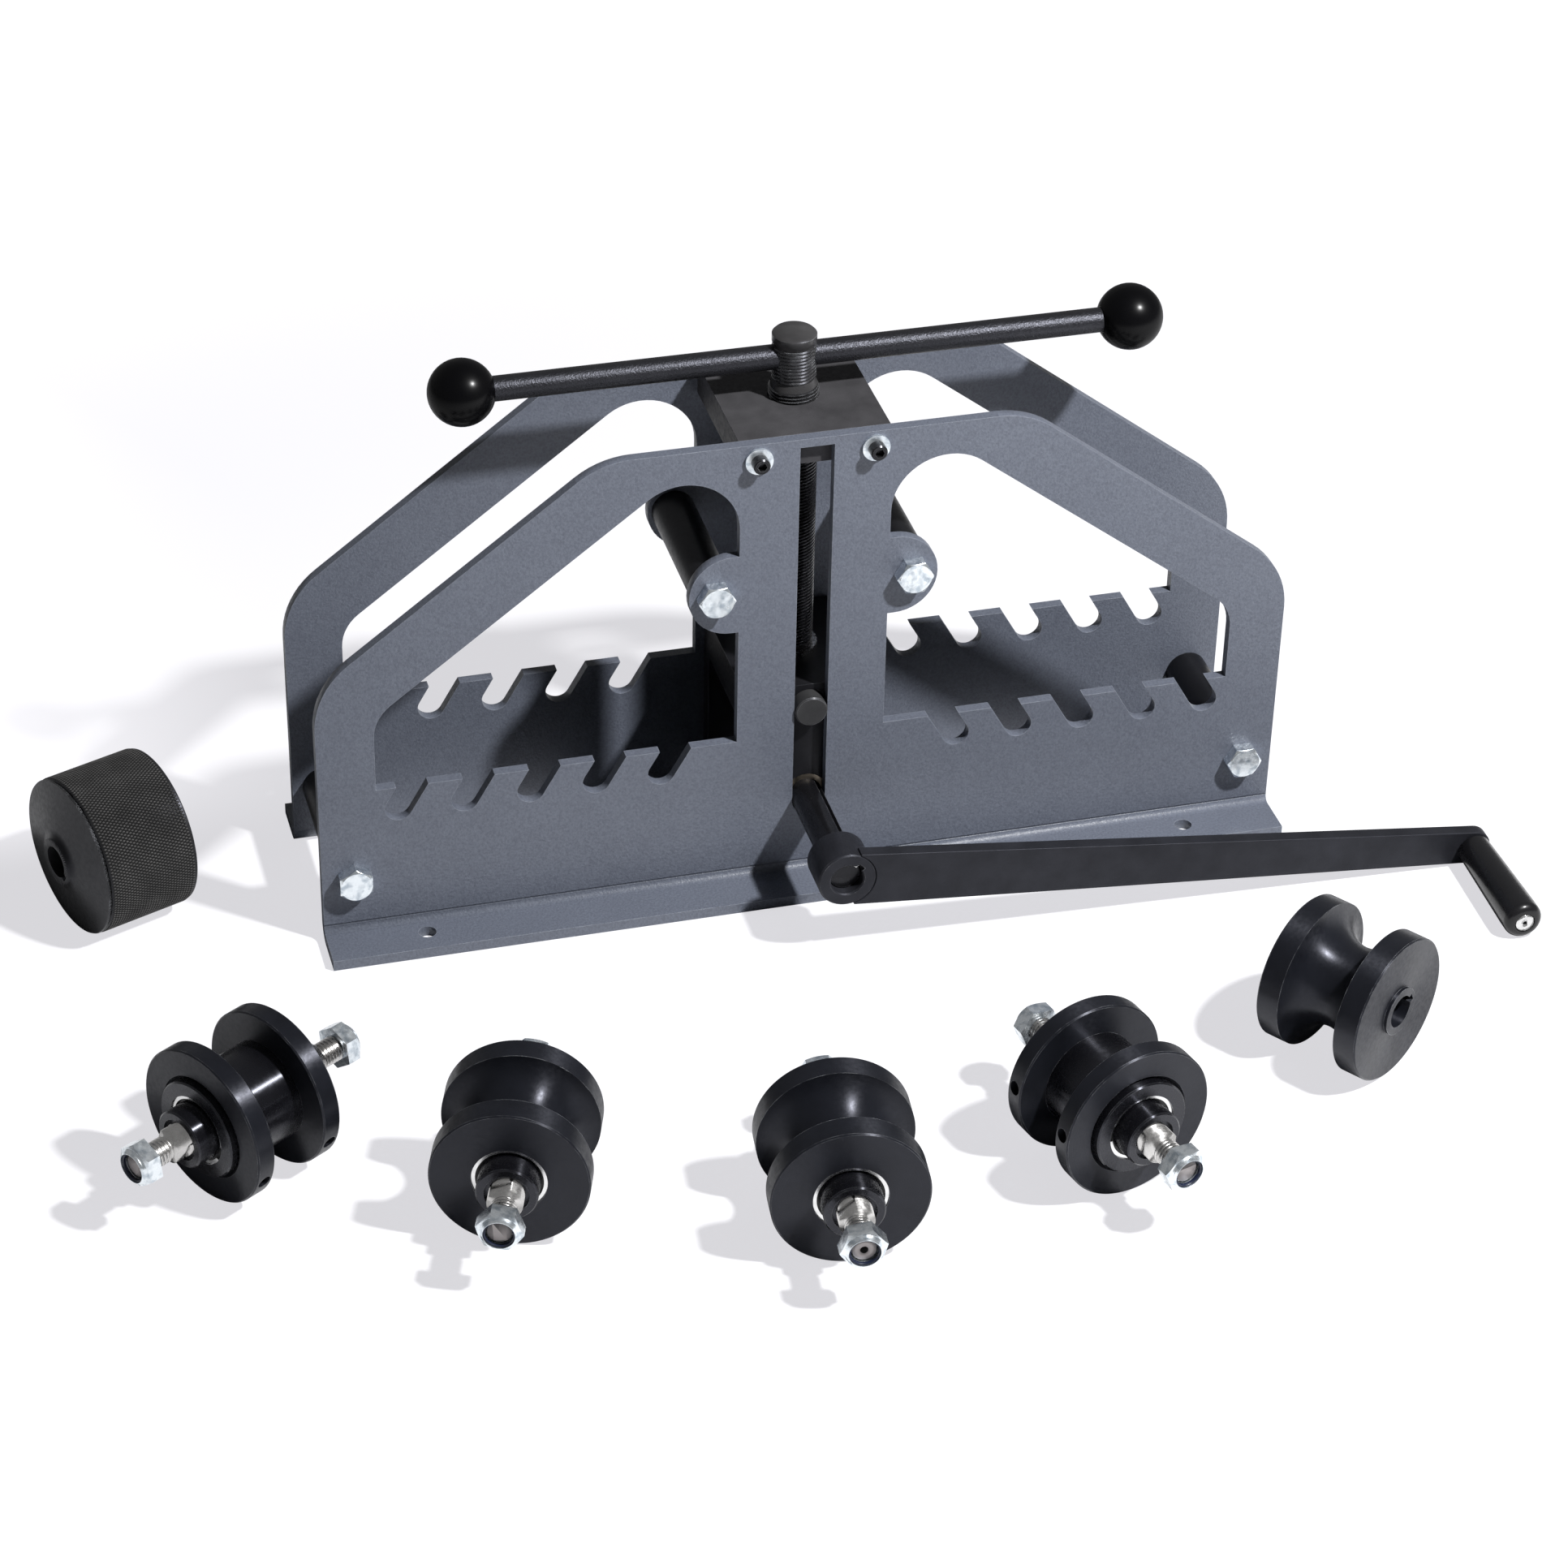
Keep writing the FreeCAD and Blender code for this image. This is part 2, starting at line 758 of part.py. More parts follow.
def guide_studs():
    """Short studs in the crossbar that keep the yoke in the plates' slots."""
    studs = []
    radius = S.stud_diameter / 2
    rim = S.edge_chamfer
    length = S.stud_outer_end - S.stud_inner_end
    for facing, rotation in ((-1, TOWARDS_FRONT), (1, TOWARDS_REAR)):
        stud = turned(f"guide_stud_{len(studs) + 1}", [
            (0, 0), (radius, 0), (radius, length - rim), (radius - rim, length), (0, length)])
        studs.append(place(stud, 0, facing * S.stud_inner_end, S.stud_height, rotation))
    return node(group("guide_studs", studs))


def shaft_bushes():
    """Plain bronze bushes pressed through the yoke's legs."""
    bushes = []
    for facing, rotation in ((-1, TOWARDS_FRONT), (1, TOWARDS_REAR)):
        bush = ring(f"shaft_bush_{len(bushes) + 1}", S.shaft_bore, S.bush_diameter, 0, S.leg_thickness)
        bushes.append(place(bush, 0, facing * LEG_INNER, S.shaft_height, rotation))
    return node(group("shaft_bushes", bushes))


def feed_screw():
    """Screw whose plain spigot hangs the yoke, with a cross hole in its head for the bar."""
    thread = S.screw_diameter / 2
    spigot = S.spigot_diameter / 2
    head = S.screw_head_diameter / 2
    neck = S.ring_groove_diameter / 2
    shoulder = S.yoke_top + S.thrust_washer_thickness + S.end_gap * 2
    groove_top = S.ring_groove_base + S.ring_thickness + S.end_gap
    rim = S.edge_chamfer
    body = turned("feed_screw", [
        (0, S.spigot_end), (spigot - rim, S.spigot_end), (spigot, S.spigot_end + rim),
        (spigot, S.ring_groove_base), (neck, S.ring_groove_base), (neck, groove_top),
        (spigot, groove_top), (spigot, shoulder), (thread, shoulder),
        (thread, S.screw_head_base - S.screw_relief), (head, S.screw_head_base),
        (head, S.screw_top - S.screw_head_chamfer), (head - S.screw_head_chamfer, S.screw_top),
        (0, S.screw_top),
    ])
    cross = new_sketch(body, "YZ_Plane")
    circle(cross, 0, S.bar_height, S.bar_bore / 2)
    pocket(body, cross, S.screw_head_diameter * 2, symmetric=True)
    return node(body)


def screw_rings():
    """Thrust washer under the screw's shoulder and the retaining ring below the crossbar."""
    washer_low = S.yoke_top + S.fit_gap
    node(ring("thrust_washer", S.spigot_bore, S.thrust_washer_diameter,
              washer_low, S.yoke_top + S.thrust_washer_thickness))
    ring_low = S.ring_groove_base + S.end_gap / 2
    node(ring("screw_retaining_ring", S.ring_groove_diameter + S.fit_gap * 2, S.ring_diameter,
              ring_low, ring_low + S.ring_thickness))


def tommy_bar():
    """Cross bar that turns the feed screw, with a ball on each end."""
    radius = S.bar_diameter / 2
    length = S.bar_left_end + S.bar_right_end
    bar = turned("tommy_bar", [(0, 0), (radius, 0), (radius, length), (0, length)])
    node(place(bar, -S.bar_left_end, 0, S.bar_height, TOWARDS_RIGHT))
    balls = []
    for x, rotation in ((-S.bar_left_end, TOWARDS_RIGHT), (S.bar_right_end, TOWARDS_LEFT)):
        number = len(balls) + 1
        ball = doc.addObject("Part::Sphere", f"ball_blank_{number}")
        bind(ball, "Radius", S.ball_diameter / 2)
        socket = doc.addObject("Part::Cylinder", f"ball_socket_{number}")
        bind(socket, "Radius", radius + S.fit_gap)
        bind(socket, "Height", S.ball_diameter)
        mouth = doc.addObject("Part::Box", f"ball_mouth_{number}")
        for prop in ("Length", "Width"):
            bind(mouth, prop, S.ball_diameter)
        bind(mouth, "Height", S.ball_diameter)
        place(mouth, -S.ball_diameter / 2, -S.ball_diameter / 2, S.ball_diameter * NEARLY_HALF * 0.93)
        tools = doc.addObject("Part::MultiFuse", f"ball_tools_{number}")
        tools.Shapes = [socket, mouth]
        drilled = doc.addObject("Part::Cut", f"bar_ball_{number}")
        drilled.Base = ball
        drilled.Tool = tools
        balls.append(place(drilled, x, 0, S.bar_height, rotation))
    return node(group("bar_balls", balls))


# ---------------------------------------------------------------- drive shaft and crank


KEY_SPIN = spun(S.keyway_angle.value)


def drive_shaft():
    """Shaft with a keyway along its whole length and a ring groove inside each yoke leg."""
    radius = S.shaft_diameter / 2
    neck = S.shaft_ring_groove_diameter / 2
    near = S.shaft_ring_near - S.fit_gap
    far = S.shaft_ring_near + S.shaft_ring_thickness + S.fit_gap
    rim = S.edge_chamfer
    body = turned("drive_shaft", [
        (0, -S.shaft_rear), (radius - rim, -S.shaft_rear), (radius, rim - S.shaft_rear),
        (radius, -far), (neck, -far), (neck, -near), (radius, -near),
        (radius, near), (neck, near), (neck, far), (radius, far),
        (radius, S.shaft_front - rim), (radius - rim, S.shaft_front), (0, S.shaft_front)])
    keyway = new_sketch(body, "XY_Plane", -S.shaft_rear)
    rectangle(keyway, radius - S.keyway_depth, radius * 2, -S.key_width / 2, S.key_width / 2)
    pocket(body, keyway, reverse=True)
    return node(place(body, 0, 0, S.shaft_height, KEY_SPIN))


def shaft_retaining_rings():
    """Snap rings that hold the shaft lengthwise between the yoke's legs, beside the drive roll."""
    near = S.shaft_ring_near
    bore = S.shaft_ring_groove_diameter + S.fit_gap * 2
    clip = ring("shaft_clip", bore, S.shaft_ring_diameter, near, near + S.shaft_ring_thickness)
    gap = new_sketch(clip, "XY_Plane")
    rectangle(gap, 0, S.shaft_ring_diameter, -S.key_width / 2, S.key_width / 2)
    pocket(clip, gap, S.plate_gap, symmetric=True)
    return node(place(both_ends("shaft_retaining_rings", clip), 0, 0, S.shaft_height, KEY_SPIN))


def crank_hub():
    """Hub keyed to the shaft, with a shallow recess in front of the shaft's end."""
    outer = S.hub_diameter / 2
    bore = S.hub_bore / 2
    rim = S.edge_chamfer
    body = turned("crank_hub", [
        (bore, S.hub_rear), (outer - rim, S.hub_rear), (outer, S.hub_rear + rim),
        (outer, S.hub_front - rim), (outer - rim, S.hub_front), (bore + rim, S.hub_front),
        (bore, S.hub_front - rim)])
    keyway = new_sketch(body, "XY_Plane")
    rectangle(keyway, 0, bore + S.keyway_depth, -S.key_width / 2 - S.fit_gap, S.key_width / 2 + S.fit_gap)
    pocket(body, keyway, reverse=True)
    tap = new_sketch(body, "YZ_Plane")
    circle(tap, 0, S.hub_screw_y, S.set_screw_hole / 2)
    pocket(body, tap, reverse=False)
    node(place(body, 0, 0, S.shaft_height, KEY_SPIN))

    key = doc.addObject("Part::Box", "crank_key")
    bind(key, "Length", S.keyway_depth * 2 - S.end_gap)
    bind(key, "Width", S.key_width - S.fit_gap)
    bind(key, "Height", S.hub_key_length)
    offset = KEY_SPIN.multVec(Vector(1, 0, 0))
    side = KEY_SPIN.multVec(Vector(0, 1, 0))
    reach = S.shaft_diameter / 2 - S.keyway_depth + S.end_gap / 2
    across = (S.key_width - S.fit_gap) / 2
    node(place(key, reach * offset.x - across * side.x, -S.hub_rear - 1,
               S.shaft_height + reach * offset.z - across * side.z, KEY_SPIN))

    screw = set_screw("hub_set_screw")
    inward = KEY_SPIN.multVec(Vector(-1, 0, 0))
    reach = outer - rim / 4
    node(place(screw, reach * inward.x, -S.hub_screw_y, S.shaft_height + reach * inward.z,
               KEY_SPIN * TOWARDS_LEFT))


ARM_SWING = Rotation(Vector(0, 1, 0), S.arm_angle.value)


def crank_arm():
    """Flat tapering arm whose root is coped to the hub."""
    body = new_body("crank_arm")
    hub = S.hub_diameter / 2
    tip = S.arm_length + S.arm_tip_half
    blade = new_sketch(body, "XZ_Plane", S.hub_front - S.arm_thickness)
    outline(blade, [
        (S.arm_root, -hub), (tip, -S.arm_tip_half, S.arm_tip_radius),
        (tip, S.arm_tip_half, S.arm_tip_radius), (S.arm_root, hub)])
    pad(body, blade, S.arm_thickness)
    holes = new_sketch(body, "XZ_Plane", S.hub_front)
    circle(holes, 0, 0, hub + S.fit_gap)
    circle(holes, S.arm_length, 0, S.spindle_diameter / 2 + S.fit_gap)
    pocket(body, holes)
    return node(place(body, 0, 0, S.shaft_height, ARM_SWING))


def grip_place(item):
    """Put a piece made along +Z at the arm's tip, pointing to the front."""
    x = S.arm_length * cosine(S.arm_angle)
    z = S.shaft_height - S.arm_length * sine(S.arm_angle)
    return place(item, x, -S.hub_front, z, TOWARDS_FRONT)


def crank_grip():
    """Spinning handle on a headed spindle that is fixed in the arm."""
    spindle = S.spindle_diameter / 2
    head = S.spindle_head_diameter / 2
    low = S.end_gap * 4
    high = low + S.grip_length
    head_low = high - S.spindle_head_height - S.end_gap
    pin = turned("grip_spindle", [
        (0, -S.arm_thickness), (spindle, -S.arm_thickness), (spindle, head_low),
        (head, head_low), (head, head_low + S.spindle_head_height),
        (0, head_low + S.spindle_head_height)])
    node(grip_place(pin))
    bore = S.grip_bore / 2
    recess = S.spindle_recess_diameter / 2
    recess_low = head_low - S.end_gap * 3
    root = S.grip_root_diameter / 2
    grip = turned("crank_grip", [
        (bore, low), (root, low, 1.5), (S.grip_end_diameter / 2, high - S.grip_end_round * 2),
        (S.grip_end_diameter / 2, high, S.grip_end_round - 1), (recess, high), (recess, recess_low),
        (bore, recess_low)])
    node(grip_place(grip))


# ---------------------------------------------------------------- loose rolls


def stand(item, name, radius):
    """Stand a piece made along +Z on the bench as a roll lies, axis level."""
    x, y, heading, turn = STANDS[name]
    rotation = Rotation(Vector(0, 0, 1), heading) * TOWARDS_RIGHT * Rotation(Vector(0, 0, 1), turn)
    return place(item, x, y, radius, rotation)


def keyed_bore(body):
    """Keyway along a drive roll's bore."""
    keyway = new_sketch(body, "XY_Plane")
    reach = S.drive_roll_bore / 2 + S.keyway_depth
    rectangle(keyway, 0, reach, -S.key_width / 2, S.key_width / 2)
    pocket(body, keyway, S.plate_gap, symmetric=True)


def knurled_drive_roll():
    """Drive roll for flat stock: a narrow step by its near rim, a coned near face and a low boss."""
    outer = S.knurled_diameter / 2
    bore = S.drive_roll_bore / 2
    boss = S.drive_roll_boss_diameter / 2
    half = S.knurled_half_width
    rim = S.edge_chamfer
    step = S.knurled_step
    cone_top = half - rim + S.knurled_cone
    boss_top = cone_top + S.drive_roll_boss
    body = turned("knurled_drive_roll", [
        (bore, -half), (outer - rim, -half), (outer, rim - half), (outer, half - step * 2),
        (outer - step, half - step * 2), (outer - step, half - step), (outer - rim / 2, half - step),
        (outer - rim, half - rim), (boss, cone_top), (boss, boss_top), (bore, boss_top)])
    keyed_bore(body)
    return node(stand(body, "knurled_drive_roll", outer))


def cut_round_groove(body):
    """Half-round groove for tube around a grooved roll."""
    sketch = new_sketch(body, "XZ_Plane")
    circle(sketch, S.grooved_diameter / 2, 0, S.groove_radius)
    revolve(body, sketch, "Groove")


def grooved_drive_roll():
    """Drive roll for tube, with a low boss on its near face."""
    outer = S.grooved_diameter / 2
    bore = S.drive_roll_bore / 2
    boss = S.drive_roll_boss_diameter / 2
    half = S.drive_roll_half_width
    rim = S.edge_chamfer
    boss_top = half + S.drive_roll_boss
    body = turned("grooved_drive_roll", [
        (bore, -half), (outer - rim, -half), (outer, rim - half), (outer, half - rim),
        (outer - rim, half), (boss, half), (boss, boss_top), (bore, boss_top)])
    cut_round_groove(body)
    keyed_bore(body)
    return node(stand(body, "grooved_drive_roll", outer))


def bearing_roll(name, diameter):
    """Roll with a bearing seat and a snap ring groove at each end of its bore."""
    outer = diameter / 2
    seat = S.bearing_diameter / 2 + S.fit_gap / 2
    through = S.bearing_shoulder_diameter / 2
    shoulder = S.bearing_inner_face - S.fit_gap
    groove = S.snap_ring_diameter / 2 + S.fit_gap
    groove_low = S.bearing_inner_face + S.bearing_width
    groove_high = groove_low + S.snap_ring_thickness + S.end_gap
    half = S.roll_half_width
    rim = S.edge_chamfer
    return turned(name, [
        (through, -shoulder), (seat, -shoulder), (seat, -groove_low), (groove, -groove_low),
        (groove, -groove_high), (seat, -groove_high), (seat, -half), (outer - rim, -half),
        (outer, rim - half), (outer, half - rim), (outer - rim, half), (seat, half),
        (seat, groove_high), (groove, groove_high), (groove, groove_low), (seat, groove_low),
        (seat, shoulder), (through, shoulder)])


def bearing_parts(prefix, radius):
    """Sealed ball bearings as outer rings with their seals, inner rings, and the snap rings."""
    outer = S.bearing_diameter / 2
    race = S.outer_ring_bore / 2
    lip = S.seal_bore / 2
    low = S.bearing_inner_face
    high = low + S.bearing_width
    recess = S.seal_recess
    skin = recess + S.seal_thickness
    shell = turned(prefix + "_bearing_shell", [
        (outer, low), (outer, high), (race, high), (race, high - recess), (lip, high - recess),
        (lip, high - skin), (race - 1, high - skin), (race - 1, low + skin), (lip, low + skin),
        (lip, low + recess), (race, low + recess), (race, low)])
    node(stand(both_ends(prefix + "_bearing_outer_rings", shell), prefix, radius))

    core = ring(prefix + "_bearing_core", S.bearing_bore + S.fit_gap, S.inner_ring_diameter, low, high)
    node(stand(both_ends(prefix + "_bearing_inner_rings", core), prefix, radius))

    clip_low = high + S.end_gap / 2
    clip = ring(prefix + "_clip", S.snap_ring_bore, S.snap_ring_diameter, clip_low,
                clip_low + S.snap_ring_thickness)
    gap = new_sketch(clip, "XY_Plane")
    rectangle(gap, 0, S.snap_ring_diameter, -S.key_width, S.key_width)
    pocket(clip, gap, S.plate_gap, symmetric=True)
    node(stand(both_ends(prefix + "_snap_rings", clip), prefix, radius))


def axle_parts(prefix, radius):
    """Fixed axle with flatted seats for the plates' notches, end collars and lock nuts."""
    body_radius = S.shaft_diameter / 2
    thread = S.axle_thread_diameter / 2
    shoulder = S.axle_shoulder_diameter / 2
    stop = S.bearing_inner_face - S.fit_gap
    seat = S.axle_seat_end
    end = S.axle_half_length
    rim = S.edge_chamfer
    axle = turned(prefix + "_axle", [
        (0, -end), (thread - rim, -end), (thread, rim - end), (thread, -seat), (body_radius, -seat),
        (body_radius, -stop), (shoulder, -stop), (shoulder, stop), (body_radius, stop),
        (body_radius, seat), (thread, seat), (thread, end - rim), (thread - rim, end), (0, end)])
    for facing in (1, -1):
        flats = new_sketch(axle, "XY_Plane", facing * S.axle_flat_start)
        for side in (1, -1):
            rectangle(flats, side * S.axle_across_flats / 2, side * S.shaft_diameter,
                      -S.shaft_diameter, S.shaft_diameter)
        pocket(axle, flats, reverse=facing > 0)
    node(stand(axle, prefix, radius))

    low = S.bearing_inner_face + S.bearing_width + S.end_gap
    outer = S.axle_collar_diameter / 2
    bore = (S.bearing_bore + S.fit_gap) / 2
    high = S.axle_collar_end
    cup = S.axle_collar_recess_diameter / 2
    cup_floor = high - S.axle_collar_recess
    collar = turned(prefix + "_collar", [
        (bore, low), (outer, low), (outer, high - rim), (outer - rim, high), (cup, high),
        (cup, cup_floor), (bore, cup_floor)])
    node(stand(both_ends(prefix + "_axle_collars", collar), prefix, radius))

    nut_low = S.lock_nut_start
    nut = hex_blank(prefix + "_lock_nut", S.lock_nut_across_flats, nut_low, S.lock_nut_hex_height)
    crown = new_sketch(nut, "XZ_Plane")
    crown_low = nut_low + S.lock_nut_hex_height
    crown_high = nut_low + S.lock_nut_height
    crown_radius = S.lock_nut_crown_diameter / 2
    outline(crown, [
        (thread, crown_low - 1), (crown_radius + rim, crown_low - 1), (crown_radius + rim, crown_low),
        (crown_radius, crown_low + 1), (crown_radius, crown_high - 1), (crown_radius - 1, crown_high),
        (thread, crown_high)])
    revolve(nut, crown)
    bore = new_sketch(nut, "XY_Plane")
    circle(bore, 0, 0, thread + S.fit_gap)
    pocket(nut, bore, reverse=True)
    seat_sketch = new_sketch(nut, "XY_Plane", crown_low)
    circle(seat_sketch, 0, 0, S.lock_nut_insert_diameter / 2)
    pocket(nut, seat_sketch, reverse=True)
    node(stand(both_ends(prefix + "_lock_nuts", nut), prefix, radius))


def grooved_idler(prefix):
    """Half-round grooved roll that runs on two bearings about a fixed axle."""
    radius = S.grooved_diameter / 2
    roll = bearing_roll(prefix + "_roll", S.grooved_diameter)
    cut_round_groove(roll)
    node(stand(roll, prefix, radius))
    bearing_parts(prefix, radius)
    axle_parts(prefix, radius)


def flat_idler(prefix):
    """Sleeve with two side discs that are set to the stock's width and clamped by set screws."""
    radius = S.disc_diameter / 2
    node(stand(bearing_roll(prefix + "_sleeve", S.sleeve_diameter), prefix, radius))

    bore = S.sleeve_diameter / 2 + S.fit_gap
    high = S.disc_face
    low = high - S.disc_thickness
    rim = S.edge_chamfer
    mouth = S.disc_bore_chamfer
    disc = turned(prefix + "_disc", [
        (bore, low), (radius - rim, low), (radius, low + rim), (radius, high - rim),
        (radius - rim, high), (bore + mouth, high), (bore, high - mouth)])
    tap = new_sketch(disc, "YZ_Plane")
    middle = (low + high) / 2
    circle(tap, 0, middle, S.set_screw_hole / 2)
    pocket(disc, tap, reverse=True)
    node(stand(both_ends(prefix + "_discs", disc), prefix, radius))

    screw = set_screw(prefix + "_disc_screw")
    place(screw, bore + S.set_screw_length + S.fit_gap, 0, middle, TOWARDS_RIGHT)
    node(stand(both_ends(prefix + "_disc_set_screws", screw), prefix, radius))
    bearing_parts(prefix, radius)
    axle_parts(prefix, radius)


# ---------------------------------------------------------------- build, check and write


def build():
    side_plate("rear_side_plate", Rotation())
    side_plate("front_side_plate", Rotation(Vector(0, 0, 1), 180))
    plate_spacers()
    spacer_bolts()
    spacer_nuts()
    screw_nut_block()
    block_screws()
    slide_yoke()
    guide_studs()
    shaft_bushes()
    screw_rings()
    feed_screw()
    tommy_bar()
    drive_shaft()
    shaft_retaining_rings()
    crank_hub()
    crank_arm()
    crank_grip()
    knurled_drive_roll()
    grooved_drive_roll()
    for side in ("left", "right"):
        flat_idler(side + "_flat_idler")
        grooved_idler(side + "_grooved_idler")


def check():
    """Stop if any object failed or any sub-part is missing or broken."""
    for item in doc.Objects:
        if "Invalid" in item.State or "Error" in item.State:
            raise RuntimeError(f"{item.Name} failed: {item.State}")
    for item in nodes:
        shape = item.Shape
        if shape.isNull() or not shape.isValid() or not shape.Solids:
            raise RuntimeError(f"{item.Label} has no sound solid")


def write():
    """One STEP file for each sub-part, named after it."""
    os.makedirs("parts", exist_ok=True)
    for item in nodes:
        item.Shape.exportStep(f"parts/{item.Label}.step")
        print(f"{item.Label:44s} solids {len(item.Shape.Solids):2d}  volume {item.Shape.Volume:12.1f}")
    print(len(nodes), "sub-parts")


build()
doc.recompute()
check()
write()
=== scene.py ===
"""Looks of the ring roller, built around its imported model.

Everything is in metres in the model's own frame: +Z up from the bench, -Y towards the crank.
"""

import math

import bmesh
import bpy
from mathutils import Matrix, Vector


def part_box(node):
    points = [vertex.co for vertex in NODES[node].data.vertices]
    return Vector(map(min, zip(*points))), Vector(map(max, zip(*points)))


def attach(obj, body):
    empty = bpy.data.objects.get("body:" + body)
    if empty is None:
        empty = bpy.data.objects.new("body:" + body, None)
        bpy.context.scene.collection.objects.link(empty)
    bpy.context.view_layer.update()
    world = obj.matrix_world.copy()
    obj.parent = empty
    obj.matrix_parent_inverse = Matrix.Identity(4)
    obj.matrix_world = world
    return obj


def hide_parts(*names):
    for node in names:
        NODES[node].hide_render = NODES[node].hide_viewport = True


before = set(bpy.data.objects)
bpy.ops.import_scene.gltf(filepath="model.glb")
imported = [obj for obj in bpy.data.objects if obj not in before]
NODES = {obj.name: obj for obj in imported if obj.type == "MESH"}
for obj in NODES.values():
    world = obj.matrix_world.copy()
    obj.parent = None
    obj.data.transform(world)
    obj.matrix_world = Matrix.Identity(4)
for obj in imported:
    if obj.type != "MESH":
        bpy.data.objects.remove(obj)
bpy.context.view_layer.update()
MM = 0.001

# Loose rolls: centre x, y, z, and heading of the near end in degrees.
STANDS = {
    "knurled_drive_roll": (-0.3957, 0.0090, 0.0468, -158.5),
    "left_flat_idler": (-0.3620, -0.2432, 0.0449, -147.8),
    "left_grooved_idler": (-0.2280, -0.3066, 0.0425, -109.2),
    "right_grooved_idler": (-0.0669, -0.3609, 0.0425, -96.6),
    "right_flat_idler": (0.0846, -0.3454, 0.0449, -74.7),
    "grooved_drive_roll": (0.2455, -0.2837, 0.0425, -54.6),
}
IDLERS = [name for name in STANDS if name.endswith("idler")]

SHAFT_HEIGHT = 53.0 * MM
BAR_HEIGHT = 317.7 * MM
CRANK_REACH = 387.0 * MM            # from the shaft to the grip
CRANK_ANGLE = math.radians(6.11)    # of the arm, below level
PLATE_THICKNESS = 6.5 * MM
BEND_RADIUS = 4.2 * MM              # inside the bend between a side plate and its foot
PLATE_OUTSIDE = 50.5 * MM           # from the middle, a little inside the plates' outer faces
AXLE_TIP = 73.2 * MM                # half the length of an idler's axle
THREAD_PITCH = 2.1167 * MM          # 12 threads an inch
SHARP_EDGE = 30.0                   # edges steeper than this, in degrees, are shaded sharp


def roll_matrix(name):
    """Matrix that takes a piece made along +Z to the roll's place, near end at +Z."""
    x, y, z, heading = STANDS[name]
    turn = Matrix.Rotation(math.radians(heading), 4, "Z") @ Matrix.Rotation(math.pi / 2, 4, "Y")
    return Matrix.Translation((x, y, z)) @ turn


def axis_matrix(x, z, across):
    """Matrix that lays +Z level: along -Y where across is "X", along +X where it is "Y"."""
    return Matrix.Translation((x, 0, z)) @ Matrix.Rotation(math.pi / 2, 4, across)


UPRIGHT = Matrix.Identity(4)
SHAFT_MATRIX = axis_matrix(0, SHAFT_HEIGHT, "X")
GRIP_MATRIX = axis_matrix(CRANK_REACH * math.cos(CRANK_ANGLE),
                          SHAFT_HEIGHT - CRANK_REACH * math.sin(CRANK_ANGLE), "X")
BAR_MATRIX = axis_matrix(0, BAR_HEIGHT, "Y")


# ---------------------------------------------------------------- node graphs


